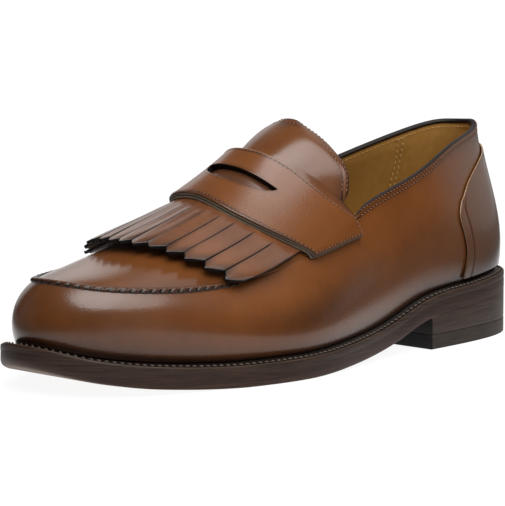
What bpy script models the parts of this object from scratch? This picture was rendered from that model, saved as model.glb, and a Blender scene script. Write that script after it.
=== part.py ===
"""Left kiltie loafer in brown calf, standing on its sole.

Places on the shoe are given in millimetres as station, breadth and height: the station runs from
the back of the heel to the toe, the breadth from the heel's centre line towards the outer side of
the foot, and the height from the floor. Girth runs once round the shoe at the feather line: 0 at
the heel, 1 at the toe tip by way of the outer side, and 2 back at the heel by the inner side.
"""
from collections import namedtuple

import bmesh
import bpy
import numpy as np

MM = 0.001

# Driving sizes of the last and the bottom, in millimetres
SHOE_LENGTH = 296.0
CENTRE_BREADTH = 4.1          # middle of the outsole's width, from the heel's centre line
HEEL_LENGTH = 80.0
TOP_LIFT_HEIGHT = 7.0
OUTSOLE_THICKNESS = 6.0
OUTSOLE_EDGE_ROUND = 0.9
HEEL_EDGE_ROUND = 0.5
WELT_THICKNESS = 3.3
WELT_RISE = 0.9               # how far the welt's top climbs from its edge to the feather line
WELT_REACH = 7.5              # how far the welt runs in under the upper
WELT_EDGE_ROUND = 0.5
INSOLE_THICKNESS = 3.0
INSOLE_CLEARANCE = 0.8        # between the insole and the upper round it
UPPER_WALL = 2.0
SEAT_GAP = 0.3                # clearance between pieces that touch on the real shoe
LEATHER_GAP = 0.4             # the same between curved leathers
APRON_HALF_BREADTH = 38.0
SIDE_LENGTH = 330.0           # of the feather line from heel to toe

# The upper's openings and overlays, as girths and cross positions
THROAT_GIRTH = 0.445
STRAP_THICKNESS = 2.6
KILTIE_THICKNESS = 1.5
KILTIE_STRIPS = 11
KILTIE_SLIT = 0.5
KILTIE_POINT = 3.0
KILTIE_LIFT = 4.2
SEAM_HEIGHT = 2.2
SEAM_SPREAD = 2.2
SEAM_END_GIRTH = 0.668        # the ridge runs out under the kiltie's corners
SEAM_FADE = 0.06
SEAM_LOW_SHARE = 0.55
SEAM_CROWN_SPREAD = 0.7       # the ridge narrows to this share of its spread
SEAM_SHOULDER = 0.8           # at this share of its height
SEAM_GAP = 0.6
SEAM_SIGHT = 0.10             # how far in over the apron its slope beside the seam is taken
SEAM_TIP_SPAN = 0.05          # girth each side of the toe tip where it is taken along the crest
STAY_THICKNESS = 1.2
STAY_GAP = 0.55
BINDING_HEIGHT = 1.4
BINDING_SPREAD = 0.5
BINDING_GAP = 0.7
BINDING_TAPER = 0.6           # share of its overhang left at its top
BINDING_SHORT = 0.02          # girth by which the topline binding stops short of the throat

SoleRow = namedtuple("SoleRow", "station lateral medial")
SOLE_ROWS = [
    SoleRow(6, 19, 18.5),
    SoleRow(18, 27.5, 27),
    SoleRow(37, 33.5, 32.5),
    SoleRow(68, 38, 34.5),
    SoleRow(106, 42.5, 33.5),
    SoleRow(143, 51.5, 36),
    SoleRow(176, 57.5, 43),
    SoleRow(200, 57, 48),
    SoleRow(225, 52.3, 49.5),
    SoleRow(249, 46.3, 45.0),
    SoleRow(270, 37.6, 34.6),
    SoleRow(285, 26.6, 24.4),
    SoleRow(293, 14.4, 13.0),
]
TOE_TIP = (SHOE_LENGTH, 0.8)

# Underside of the outsole: heel seat, waist, flat tread and toe spring
BottomRow = namedtuple("BottomRow", "station height")
BOTTOM_ROWS = [
    BottomRow(0, 21.0),
    BottomRow(40, 18.2),
    BottomRow(HEEL_LENGTH, 14.6),
    BottomRow(110, 6.2),
    BottomRow(152, 1.2),
    BottomRow(178, 0.0),
    BottomRow(196, 0.0),
    BottomRow(214, 0.0),
    BottomRow(243, 1.6),
    BottomRow(268, 4.4),
    BottomRow(282, 7.2),
    BottomRow(SHOE_LENGTH, 12.2),
]

# Width of welt that shows outside the upper
WeltRow = namedtuple("WeltRow", "station width")
WELT_ROWS = [
    WeltRow(0, 4.2),
    WeltRow(80, 4.2),
    WeltRow(140, 4.5),
    WeltRow(200, 6.0),
    WeltRow(SHOE_LENGTH, 6.8),
]

# Upper wall: its top edge, the outward belly above the feather and the shoulder below the top
WallRow = namedtuple("WallRow", "girth station breadth height belly shoulder drop")
WALL_ROWS = [
    WallRow(0.000, 11.0, 0.0, 99.2, 4.4, 2.5, 24),
    WallRow(0.060, 13.7, 8.4, 99.7, 4.4, 3.0, 25),
    WallRow(0.120, 24, 15.6, 99.0, 4.8, 3.0, 26),
    WallRow(0.200, 50, 25.9, 91.4, 5.6, 3.0, 22),
    WallRow(0.300, 82, 33.0, 80.8, 5.0, 2.5, 20),
    WallRow(0.380, 107, 34.2, 73.0, 4.5, 3.0, 18),
    WallRow(0.445, 127, 34.8, 65.5, 4.0, 5.0, 14),
    WallRow(0.520, 155, 38.8, 54.0, 4.0, 7.0, 12),
    WallRow(0.600, 185, 41.3, 46.2, 5.0, 8.0, 11),
    WallRow(0.680, 212, 41.2, 43.3, 5.5, 8.0, 10),
    WallRow(0.760, 236, 38.8, 42.8, 5.0, 7.5, 9),
    WallRow(0.830, 256, 33.8, 43.8, 4.5, 7.5, 8),
    WallRow(0.890, 270, 25.5, 45.0, 4.0, 8.0, 7),
    WallRow(0.945, 278, 14.5, 46.4, 3.5, 8.0, 7),
    WallRow(1.000, 281.5, 1.5, 47.2, 3.0, 8.0, 7),
    WallRow(1.055, 277, -11.0, 46.0, 3.8, 9.5, 7),
    WallRow(1.110, 266, -22.0, 45.0, 4.4, 9.5, 7),
    WallRow(1.170, 248, -31.0, 45.1, 4.5, 8.5, 8),
    WallRow(1.240, 226, -36.0, 47.2, 5.0, 7.5, 9),
    WallRow(1.320, 203, -37.5, 50.2, 4.5, 8.0, 10),
    WallRow(1.400, 179, -36.0, 54.2, 3.5, 7.5, 11),
    WallRow(1.480, 152, -33.8, 60.0, 2.5, 6.0, 12),
    WallRow(1.555, 126, -32.5, 67.5, 2.5, 4.5, 14),
    WallRow(1.620, 106, -32.0, 74.6, 3.0, 3.0, 18),
    WallRow(1.700, 82, -31.0, 82.0, 4.0, 2.5, 20),
    WallRow(1.800, 50, -25.2, 91.6, 5.5, 3.0, 22),
    WallRow(1.880, 24, -15.6, 99.0, 4.8, 3.0, 26),
    WallRow(1.940, 13.7, -8.4, 99.7, 4.4, 3.0, 25),
]
BELLY_RISE = 0.36             # share of the wall's height at which the belly pulls

# Crest of the apron and instep, from the toe tip up to the top of the tongue
CrestRow = namedtuple("CrestRow", "station breadth height")
CREST_ROWS = [
    CrestRow(134, -0.5, 107.5),
    CrestRow(150, 0.0, 100.0),
    CrestRow(167, 0.3, 88.7),
    CrestRow(194, 1.0, 73.2),
    CrestRow(210, 1.2, 64.9),
    CrestRow(232, 1.5, 56.6),
    CrestRow(248, 1.5, 52.8),
    CrestRow(263, 1.5, 50.0),
    CrestRow(281.5, 1.5, 47.2),
]
CREST_LEAD = 36.0             # how far the crest of the throat row lies ahead of the row's ends
CREST_LEAD_POWER = 1.6
TOE_BOW = 4.0                 # how far the rows by the toe tip bow back from it
TOE_BOW_SHARE = 0.09
VAMP_ARCH = 2.5               # 2 gives a parabola over each row, more a fuller shoulder
TONGUE_ARCH = 2.5

# Tongue above the throat: its free edge on each side and the crest between
TongueRow = namedtuple("TongueRow", "station half_breadth height crest_station")
TONGUE_ROWS = [
    TongueRow(133.0, 33.5, 72.0, 157.0),
    TongueRow(131.5, 33.0, 78.0, 150.5),
    TongueRow(130.0, 31.5, 84.0, 145.5),
    TongueRow(130.0, 28.5, 89.5, 141.8),
    TongueRow(131.0, 23.5, 95.3, 139.0),
    TongueRow(132.2, 17.5, 100.4, 137.0),
    TongueRow(133.2, 11.5, 103.8, 135.4),
]
TONGUE_CENTRE = -0.5

# Front edge of the kiltie, as girth on the outer side for each place across
FrontRow = namedtuple("FrontRow", "across girth")
KILTIE_FRONT = [
    FrontRow(-1.0, 0.742),
    FrontRow(-0.5, 0.750),
    FrontRow(0.0, 0.740),
    FrontRow(0.5, 0.711),
    FrontRow(1.0, 0.682),
]
KILTIE_ROOT_GIRTH = 0.490
KILTIE_BAND_GIRTH = 0.530
KILTIE_HALF_SPAN = 1.03      # at the front edge
KILTIE_ROOT_SPAN = 0.94       # under the strap
KILTIE_EDGE_DROP = 0.35       # share of the lift lost towards the flap's sides
KILTIE_CURL = 1.3
KILTIE_SEAM_START = 0.2       # share of the strips' length at which the sides begin to clear the seam
KILTIE_SEAM_CLEAR = 0.5       # and the share over which they do so
KILTIE_SIDE_POWER = 8

# Saddle strap: girth of its top and front edge at each place along it, from its inner end
StrapRow = namedtuple("StrapRow", "along top front")
STRAP_ROWS = [
    StrapRow(-1.0, 0.456, 0.546),
    StrapRow(-0.8, 0.463, 0.557),
    StrapRow(-0.5, 0.446, 0.564),
    StrapRow(0.0, 0.437, 0.558),
    StrapRow(0.5, 0.446, 0.564),
    StrapRow(0.8, 0.463, 0.557),
    StrapRow(1.0, 0.456, 0.546),
]
STRAP_TOP_REACH = 1.19        # how far down the wall the strap's ends run, at its top and front
STRAP_FRONT_REACH = 1.07
STRAP_LAND = 1.06             # cross position by which the strap has come down on the wall
STRAP_STEP_DOWN = 0.09

# Half-moon cut-out of the strap: its reach along and across the strap
MOON_HALF_SPAN = 0.40
MOON_CENTRE = 0.115
MOON_FLAT = 0.37
MOON_DEPTH = 0.24
MOON_CUT_MARGIN = 1.2

# S-edged back stay: its reach round the heel by height, and its top edge by reach
StayEdgeRow = namedtuple("StayEdgeRow", "rise reach")
STAY_EDGE = [
    StayEdgeRow(0.03, 0.196),
    StayEdgeRow(0.20, 0.193),
    StayEdgeRow(0.36, 0.202),
    StayEdgeRow(0.525, 0.211),
    StayEdgeRow(0.62, 0.203),
]
StayTopRow = namedtuple("StayTopRow", "reach rise")
STAY_TOP = [
    StayTopRow(0.0, 0.845),
    StayTopRow(0.04, 0.838),
    StayTopRow(0.085, 0.82),
    StayTopRow(0.149, 0.775),
    StayTopRow(0.185, 0.69),
    StayTopRow(0.205, 0.60),
]
STAY_FOOT = 0.03

# Mesh density: steps along each piece
SLAB_STEPS = 44
WELT_STEPS = 80
COLLAR_STEPS = 18
VAMP_STEPS = 22
WALL_RISES = 10
APRON_STEPS = 12
STRAP_STEPS = (26, 7)
MOON_STEPS = (14, 2)
KILTIE_LENGTH_STEPS = 7
SEAM_STEPS = 28
OUTLINE_SAMPLES = 4000
NORMAL_STEP = 0.004           # girth or rise over which a surface's slope is taken
VAMP_NORMAL_STEP = 0.012
RIM_SIGHT = 0.04              # rise below a rim over which its direction is taken
SHARP_ANGLE = 35

UP = np.array([0.0, 0.0, 1.0])


def hermite(knots, points, at):
    """Cubic through the points, each slope taken from its neighbours."""
    knots = np.asarray(knots, float)
    points = np.asarray(points, float)
    slopes = np.gradient(points, knots, axis=0)
    at = np.asarray(at, float)
    i = np.clip(np.searchsorted(knots, at, side="right") - 1, 0, len(knots) - 2)
    span = knots[i + 1] - knots[i]
    w = (at - knots[i]) / span
    if points.ndim > 1:
        span = span[..., None]
        w = w[..., None]
    start = (2 * w**3 - 3 * w**2 + 1) * points[i] + (w**3 - 2 * w**2 + w) * span * slopes[i]
    end = (3 * w**2 - 2 * w**3) * points[i + 1] + (w**3 - w**2) * span * slopes[i + 1]
    return start + end


def column(rows, name):
    """One named column of a table."""
    return np.array([getattr(row, name) for row in rows], float)


def unit(vectors):
    """The same directions at length one."""
    return vectors / np.linalg.norm(vectors, axis=-1, keepdims=True)


def smooth_step(x):
    """Ease from 0 to 1 as x goes from 0 to 1."""
    x = np.clip(x, 0.0, 1.0)
    return x * x * (3 - 2 * x)


def sole_loop():
    """Closed outline of the outsole in plan, from the heel by the outer side, with its normals."""
    outer = [(row.station, row.lateral) for row in SOLE_ROWS]
    inner = [(row.station, -row.medial) for row in reversed(SOLE_ROWS)]
    corners = np.array([(0.0, 0.0)] + outer + [TOE_TIP] + inner)
    wrapped = np.concatenate([corners[-3:], corners, corners[:4]])
    chords = np.linalg.norm(np.diff(wrapped, axis=0), axis=1)
    knots = np.concatenate([[0.0], np.cumsum(chords)])
    at = np.linspace(knots[3], knots[3 + len(corners)], OUTLINE_SAMPLES + 1)
    loop = hermite(knots, wrapped, at)
    along = unit(np.gradient(loop, axis=0))
    along[[0, -1]] = unit(along[1] + along[-2])
    return loop, np.stack([-along[:, 1], along[:, 0]], axis=1)


LOOP, LOOP_OUT = sole_loop()


def welt_width(station):
    """Width of welt outside the upper at a station."""
    return hermite(column(WELT_ROWS, "station"), column(WELT_ROWS, "width"), station)


def bottom_height(station):
    """Height of the outsole's underside, level along the tread."""
    height = hermite(column(BOTTOM_ROWS, "station"), column(BOTTOM_ROWS, "height"), station)
    return np.maximum(height, 0.0)


def inset_loop(extra):
    """Outline moved in by the welt's width and some more (negative extra moves it back out)."""
    return LOOP - LOOP_OUT * (welt_width(LOOP[:, 0]) + extra)[:, None]


def side_breadths(loop, stations):
    """Breadth of the outline's outer and inner side at each station."""
    tip = int(np.argmax(loop[:, 0]))
    outer = np.interp(stations, loop[:tip + 1, 0], loop[:tip + 1, 1])
    inner = np.interp(stations, loop[tip:, 0][::-1], loop[tip:, 1][::-1])
    return outer, inner


def feather_loop():
    """Feather line, where the upper meets the welt, with the girth of each of its points."""
    loop = inset_loop(0.0)
    tip = int(np.argmax(loop[:, 0]))
    steps = np.concatenate([[0.0], np.cumsum(np.linalg.norm(np.diff(loop, axis=0), axis=1))])
    girth = np.where(
        np.arange(len(loop)) <= tip,
        steps / steps[tip],
        1 + (steps - steps[tip]) / (steps[-1] - steps[tip]),
    )
    return loop, girth


FEATHER, FEATHER_GIRTH = feather_loop()
WELT_TOP = OUTSOLE_THICKNESS + SEAT_GAP + WELT_THICKNESS + WELT_RISE
FEATHER_RISE = WELT_TOP + SEAT_GAP


def feather_point(girth):
    """Point on the feather line and the outward direction there."""
    girth = np.mod(girth, 2.0)
    station = np.interp(girth, FEATHER_GIRTH, FEATHER[:, 0])
    breadth = np.interp(girth, FEATHER_GIRTH, FEATHER[:, 1])
    out = [np.interp(girth, FEATHER_GIRTH, LOOP_OUT[:, i]) for i in (0, 1)]
    height = bottom_height(station) + FEATHER_RISE
    point = np.stack([station, breadth, height], axis=-1)
    return point, unit(np.stack([out[0], out[1], np.zeros_like(out[0])], axis=-1))


def wall_rows_wrapped():
    """Wall table as arrays, carried round past both ends so that it closes smoothly."""
    knots = column(WALL_ROWS, "girth")
    values = np.array([row[1:] for row in WALL_ROWS], float)
    knots = np.concatenate([knots[-3:] - 2, knots, knots[:3] + 2])
    return knots, np.concatenate([values[-3:], values, values[:3]])


WALL_KNOTS, WALL_VALUES = wall_rows_wrapped()


def wall_point(girth, rise):
    """Point of the upper's outside: rise 0 at the feather line, 1 at the top edge."""
    girth, rise = np.broadcast_arrays(np.mod(girth, 2.0), np.asarray(rise, float))
    foot, out = feather_point(girth)
    row = hermite(WALL_KNOTS, WALL_VALUES, girth)
    top = row[..., :3]
    tall = (top - foot)[..., 2:]
    low_pull = foot + out * row[..., 3:4] + UP * tall * BELLY_RISE
    high_pull = top + out * row[..., 4:5] - UP * row[..., 5:6]
    t = rise[..., None]
    return (
        (1 - t) ** 3 * foot
        + 3 * t * (1 - t) ** 2 * low_pull
        + 3 * t**2 * (1 - t) * high_pull
        + t**3 * top
    )


def crest_point(station):
    """Point on the crest of the apron, instep or tongue."""
    stations = column(CREST_ROWS, "station")
    values = np.array([row[1:] for row in CREST_ROWS], float)
    across = hermite(stations, values, station)
    return np.concatenate([np.asarray(station, float)[..., None], across], axis=-1)


def arch(inner, crest, outer, across, power):
    """Arch from the inner to the outer end (across -1 to 1) over the crest."""
    c = np.asarray(across, float)[..., None]
    chord = inner * (1 - c) / 2 + outer * (1 + c) / 2
    return chord + (crest - (inner + outer) / 2) * (1 - np.abs(c) ** power)


def vamp_point(girth, across):
    """Outside of apron and wall in one: girth on the outer side names the row.

    Across runs -1 to 1 over the apron, and past 1 down the wall by its share of the wall's rise.
    """
    girth, across = np.broadcast_arrays(np.asarray(girth, float), np.asarray(across, float))
    reach = np.abs(across)
    side = np.where(across >= 0, girth, 2 - girth)
    outer = wall_point(girth, 1.0)
    inner = wall_point(2 - girth, 1.0)
    share = np.clip((1 - girth) / (1 - THROAT_GIRTH), 0, None)
    near_toe = share / TOE_BOW_SHARE
    lead = CREST_LEAD * share**CREST_LEAD_POWER - TOE_BOW * near_toe * np.exp(1 - near_toe)
    crest = crest_point((outer[..., 0] + inner[..., 0]) / 2 + lead)
    top = arch(inner, crest, outer, np.clip(across, -1, 1), VAMP_ARCH)
    low = wall_point(side, np.clip(2 - reach, 0, 1))
    return np.where((reach <= 1)[..., None], top, low)


def surface_normal(surface, a, b, step=NORMAL_STEP):
    """Direction square to a surface function at its two parameters."""
    along = surface(a + step, b) - surface(a - step, b)
    over = surface(a, b + step) - surface(a, b - step)
    return unit(np.cross(along, over))


def vamp_offset(girth, across, lift):
    """Point of apron or wall moved out by a lift."""
    normal = surface_normal(vamp_point, girth, across, VAMP_NORMAL_STEP)
    return vamp_point(girth, across) + normal * np.asarray(lift, float)[..., None]


def wall_offset(girth, rise, lift):
    """Point of the wall moved out by a lift."""
    inward = surface_normal(wall_point, girth, rise)
    return wall_point(girth, rise) - inward * np.asarray(lift, float)[..., None]


def to_frame(points):
    """Station, breadth and height to metres in the part's frame, toe towards -Y."""
    points = np.asarray(points, float)
    return np.stack(
        [
            (points[..., 1] - CENTRE_BREADTH) * MM,
            (SHOE_LENGTH / 2 - points[..., 0]) * MM,
            points[..., 2] * MM,
        ],
        axis=-1,
    )


def clear_scene():
    """Remove what the file already holds."""
    for old in list(bpy.data.objects):
        bpy.data.objects.remove(old, do_unlink=True)


def leather(name, colour, roughness):
    """Principled material of one piece."""
    material = bpy.data.materials.new(name)
    material.use_nodes = True
    shader = material.node_tree.nodes["Principled BSDF"]
    shader.inputs["Base Color"].default_value = (*colour, 1.0)
    shader.inputs["Roughness"].default_value = roughness
    shader.inputs["Metallic"].default_value = 0.0
    return material


def add_object(name, verts, faces, collection, material=None):
    """Mesh object with its doubles merged and its faces turned outwards."""
    mesh = bpy.data.meshes.new(name)
    mesh.from_pydata(to_frame(verts).tolist(), [], faces)
    work = bmesh.new()
    work.from_mesh(mesh)
    bmesh.ops.remove_doubles(work, verts=work.verts, dist=1e-6)
    bmesh.ops.dissolve_degenerate(work, edges=work.edges, dist=1e-6)
    bmesh.ops.recalc_face_normals(work, faces=work.faces)
    work.to_mesh(mesh)
    work.free()
    mesh.shade_smooth()
    mesh.set_sharp_from_angle(angle=np.radians(SHARP_ANGLE))
    made = bpy.data.objects.new(name, mesh)
    collection.objects.link(made)
    if material:
        mesh.materials.append(material)
    return made


def skin(sections, closed=False):
    """Faces over equal closed sections, capped at both ends unless the row of them closes."""
    sections = np.asarray(sections, float)
    count, size = sections.shape[:2]
    faces = []
    for i in range(count if closed else count - 1):
        j = (i + 1) % count
        for a in range(size):
            b = (a + 1) % size
            faces.append((i * size + a, i * size + b, j * size + b, j * size + a))
    if not closed:
        faces.append(tuple(range(size)))
        faces.append(tuple((count - 1) * size + a for a in reversed(range(size))))
    return sections.reshape(-1, 3), faces


def grid_faces(rows, columns):
    """Quads of a grid whose points run column by column within each row."""
    return [
        (i * columns + j, i * columns + j + 1, (i + 1) * columns + j + 1, (i + 1) * columns + j)
        for i in range(rows - 1)
        for j in range(columns - 1)
    ]


def plate(name, loop, stations, low, high, edge, collection, material):
    """Flat piece under the foot: cross-bars from side to side with rounded edges."""
    outer, inner = side_breadths(loop, stations)
    bend = np.minimum(edge, (outer - inner) / 3)
    zeros = np.zeros_like(stations)
    ring = [
        (outer - bend, low + zeros),
        (outer, low + bend),
        (outer, high - bend),
        (outer - bend, high + zeros),
        (inner + bend, high + zeros),
        (inner, high - bend),
        (inner, low + bend),
        (inner + bend, low + zeros),
    ]
    sections = np.stack([np.stack([stations, x, z], axis=-1) for x, z in ring], axis=1)
    verts, faces = skin(sections)
    return add_object(name, verts, faces, collection, material)


def even_stations(start, end, steps, round_start, round_end):
    """Stations that crowd together towards the round ends of an outline."""
    t = np.linspace(0, 1, steps + 1)
    if round_start and round_end:
        t = (1 - np.cos(np.pi * t)) / 2
    elif round_start:
        t = 1 - np.cos(np.pi * t / 2)
    return start + (end - start) * t


def build_bottom(collection, finish):
    """Outsole, heel block, top lift and insole."""
    stations = even_stations(0, SHOE_LENGTH, SLAB_STEPS, True, True)
    low = bottom_height(stations)
    plate("outsole", LOOP, stations, low, low + OUTSOLE_THICKNESS, OUTSOLE_EDGE_ROUND,
          collection, finish["outsole"])

    heel_stations = even_stations(0, HEEL_LENGTH, SLAB_STEPS // 3, True, False)
    seat = bottom_height(heel_stations) - SEAT_GAP
    flat = np.zeros_like(heel_stations)
    plate("heel_stack", LOOP, heel_stations, flat + TOP_LIFT_HEIGHT + SEAT_GAP, seat,
          HEEL_EDGE_ROUND, collection, finish["heel"])
    plate("heel_top_lift", LOOP, heel_stations, flat, flat + TOP_LIFT_HEIGHT, HEEL_EDGE_ROUND,
          collection, finish["top_lift"])

    inside = inset_loop(UPPER_WALL + INSOLE_CLEARANCE)
    ends = (inside[:, 0].min(), inside[:, 0].max())
    stations = even_stations(*ends, SLAB_STEPS, True, True)
    low = bottom_height(stations) + FEATHER_RISE
    plate("insole", inside, stations, low, low + INSOLE_THICKNESS, HEEL_EDGE_ROUND,
          collection, finish["insole"])


def build_welt(collection, finish):
    """Strip round the whole bottom, its top climbing towards the feather line."""
    pick = np.linspace(0, OUTLINE_SAMPLES, WELT_STEPS, endpoint=False).astype(int)
    low = OUTSOLE_THICKNESS + SEAT_GAP
    corners = [
        (0.0, low + WELT_EDGE_ROUND),
        (0.0, low + WELT_THICKNESS - WELT_EDGE_ROUND),
        (WELT_EDGE_ROUND, low + WELT_THICKNESS),
        (None, low + WELT_THICKNESS + WELT_RISE),
        (WELT_REACH, low + WELT_THICKNESS + WELT_RISE),
        (WELT_REACH, low),
        (WELT_EDGE_ROUND, low),
    ]
    ring = []
    for inset, height in corners:
        deep = inset_loop(0.0) if inset is None else LOOP - LOOP_OUT * inset
        deep = inset_loop(WELT_REACH) if inset == WELT_REACH else deep
        plan = deep[pick]
        level = bottom_height(np.clip(plan[:, 0], 0, SHOE_LENGTH)) + height
        ring.append(np.column_stack([plan, level]))
    verts, faces = skin(np.stack(ring, axis=1), closed=True)
    add_object("welt", verts, faces, collection, finish["welt"])


def collar_girths():
    """Girths of the collar's columns, from the inner throat round the heel to the outer throat."""
    return np.linspace(-THROAT_GIRTH, THROAT_GIRTH, 2 * COLLAR_STEPS + 1)


def vamp_girths():
    """Girths of the vamp's rows on the outer side, from the toe tip to the throat."""
    return np.linspace(1.0, THROAT_GIRTH, VAMP_STEPS + 1)


def tongue_rows(across):
    """Rows of the tongue above the throat, each an arch between its two free edges."""
    rows = []
    for row in TONGUE_ROWS:
        outer = np.array([row.station, TONGUE_CENTRE + row.half_breadth, row.height])
        inner = np.array([row.station, TONGUE_CENTRE - row.half_breadth, row.height])
        crest = crest_point(np.array(row.crest_station))
        rows.append(arch(inner, crest, outer, across, TONGUE_ARCH))
    return rows


def build_upper(collection, finish):
    """Quarters, vamp wall, apron and tongue as one skin, given its thickness inwards."""
    rises = np.linspace(0, 1, WALL_RISES + 1)
    vamp = vamp_girths()
    outer_side = np.concatenate([collar_girths()[:-1], vamp[::-1]])
    girths = np.concatenate([outer_side, (2 - vamp)[1:-1]])
    wall = wall_point(girths[:, None], rises[None, :])
    columns = len(girths)
    verts = [wall.reshape(-1, 3)]
    faces = []
    for i in range(columns):
        j = (i + 1) % columns
        for k in range(WALL_RISES):
            a = i * (WALL_RISES + 1) + k
            b = j * (WALL_RISES + 1) + k
            faces.append((a, b, b + 1, a + 1))
    start = wall.shape[0] * wall.shape[1]

    across = np.linspace(-1, 1, APRON_STEPS + 1)
    rows = [vamp_point(np.full_like(across, g), across) for g in vamp]
    rows += tongue_rows(across)
    verts.append(np.concatenate(rows))
    for a, b, c, d in grid_faces(len(rows), APRON_STEPS + 1):
        faces.append((start + a, start + b, start + c, start + d))
    upper = add_object("upper", np.concatenate(verts), faces, collection, finish["upper"])
    wall_depth = upper.modifiers.new("wall", "SOLIDIFY")
    wall_depth.thickness = UPPER_WALL * MM
    wall_depth.offset = -1
    wall_depth.use_even_offset = True
    wall_depth.use_quality_normals = True


def thick_grid(low, high):
    """Closed solid between two equal grids of points."""
    rows, columns = low.shape[:2]
    count = rows * columns
    edge = (
        [j for j in range(columns)]
        + [i * columns + columns - 1 for i in range(1, rows)]
        + [(rows - 1) * columns + j for j in range(columns - 2, -1, -1)]
        + [i * columns for i in range(rows - 2, 0, -1)]
    )
    faces = grid_faces(rows, columns)
    faces += [tuple(count + k for k in reversed(face)) for face in grid_faces(rows, columns)]
    for a, b in zip(edge, edge[1:] + edge[:1]):
        faces.append((b, a, count + a, count + b))
    return np.concatenate([low.reshape(-1, 3), high.reshape(-1, 3)]), faces


def build_seam(collection, finish):
    """Raised ridge where the apron is sewn to the wall, from strap to strap round the toe."""
    half = np.linspace(SEAM_END_GIRTH, 1.0, SEAM_STEPS)
    girths = np.concatenate([half, 2 - half[-2::-1]])
    fade = smooth_step((1 - np.abs(girths - 1) - SEAM_END_GIRTH) / SEAM_FADE)
    tall = (SEAM_HEIGHT * (SEAM_LOW_SHARE + (1 - SEAM_LOW_SHARE) * fade))[:, None]
    ridge = wall_point(girths, 1.0)
    down = unit(wall_point(girths, 1 - RIM_SIGHT) - ridge)
    inward = apron_inward(girths)
    lean = unit(-(down + inward))
    wall_side = unit(np.cross(np.gradient(ridge, axis=0), down))
    wall_side *= np.sign((wall_side * lean).sum(-1, keepdims=True))
    apron_side = unit(np.cross(np.gradient(ridge, axis=0), inward))
    apron_side *= np.sign((apron_side * lean).sum(-1, keepdims=True))
    base = [
        ridge + down * SEAM_SPREAD + wall_side * SEAM_GAP,
        ridge + lean * SEAM_GAP,
        ridge + inward * SEAM_SPREAD + apron_side * SEAM_GAP,
    ]
    crown = [
        ridge + inward * SEAM_SPREAD * SEAM_CROWN_SPREAD + lean * tall * SEAM_SHOULDER,
        ridge + lean * (tall + SEAM_GAP),
        ridge + down * SEAM_SPREAD * SEAM_CROWN_SPREAD + lean * tall * SEAM_SHOULDER,
    ]
    verts, faces = skin(np.stack(base + crown, axis=1))
    add_object("apron_seam", verts, faces, collection, finish["seam"])


def apron_inward(girths):
    """Direction over the apron, square to its edge, at points along the seam."""
    ridge = wall_point(girths, 1.0)
    along = unit(np.gradient(ridge, axis=0))
    outer_girth = 1 - np.abs(girths - 1)
    beside = vamp_point(outer_girth, np.where(girths <= 1, 1.0, -1.0) * (1 - SEAM_SIGHT))
    ahead = crest_point(np.full_like(girths, CREST_ROWS[-2].station))
    at_tip = (outer_girth > 1 - SEAM_TIP_SPAN)[:, None]
    toward = unit(np.where(at_tip, ahead, beside) - ridge)
    return unit(toward - along * (toward * along).sum(-1, keepdims=True))


def strap_place(along, over):
    """Girth and cross position of a point of the strap.

    Along runs -1 to 1 between its ends, over 0 at its top edge to 1 at its front.
    """
    place = column(STRAP_ROWS, "along")
    top = hermite(place, column(STRAP_ROWS, "top"), along)
    front = hermite(place, column(STRAP_ROWS, "front"), along)
    end = STRAP_TOP_REACH + (STRAP_FRONT_REACH - STRAP_TOP_REACH) * over
    return top + (front - top) * over, along * end


def strap_surface(along, over, lift):
    """Point at a lift above the strap's bed, which rides over the kiltie between its ends."""
    girth, across = strap_place(along, over)
    flap = LEATHER_GAP + KILTIE_THICKNESS
    bed = LEATHER_GAP + flap * smooth_step((STRAP_LAND - np.abs(across)) / STRAP_STEP_DOWN)
    return vamp_offset(girth, across, bed + lift)


def build_strap(collection, cutters, finish):
    """Saddle strap with a half-moon cut-out over the crest."""
    sweep = np.linspace(-1, 1, STRAP_STEPS[0] + 1)[:, None]
    over = np.linspace(0, 1, STRAP_STEPS[1] + 1)[None, :]
    along, over = np.broadcast_arrays((sweep + np.sin(sweep * np.pi / 2)) / 2, over)
    verts, faces = thick_grid(
        strap_surface(along, over, 0.0),
        strap_surface(along, over, STRAP_THICKNESS),
    )
    strap = add_object("saddle_strap", verts, faces, collection, finish["strap"])

    side = np.linspace(-1, 1, MOON_STEPS[0] + 1)[:, None]
    deep = np.linspace(0, 1, MOON_STEPS[1] + 1)[None, :]
    moon_along = MOON_CENTRE + MOON_HALF_SPAN * side + 0 * deep
    moon_over = MOON_FLAT + MOON_DEPTH * deep * np.sqrt(1 - side**2)
    verts, faces = thick_grid(
        strap_surface(moon_along, moon_over, -MOON_CUT_MARGIN),
        strap_surface(moon_along, moon_over, STRAP_THICKNESS + MOON_CUT_MARGIN),
    )
    moon = add_object("moon_cutter", verts, faces, cutters)
    moon.hide_render = True
    moon.display_type = "WIRE"
    cut = strap.modifiers.new("half_moon", "BOOLEAN")
    cut.operation = "DIFFERENCE"
    cut.solver = "EXACT"
    cut.object = moon


def kiltie_lift(share, across):
    """Height of the flap over the apron: flat under the strap, curling up to its front edge."""
    middle = KILTIE_LIFT * (1 - KILTIE_EDGE_DROP * across**2) * smooth_step(share) ** KILTIE_CURL
    clear = smooth_step((share - KILTIE_SEAM_START) / KILTIE_SEAM_CLEAR)
    over_seam = (SEAM_HEIGHT + LEATHER_GAP) * clear * across**KILTIE_SIDE_POWER
    return LEATHER_GAP + np.maximum(middle, over_seam)


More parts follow.
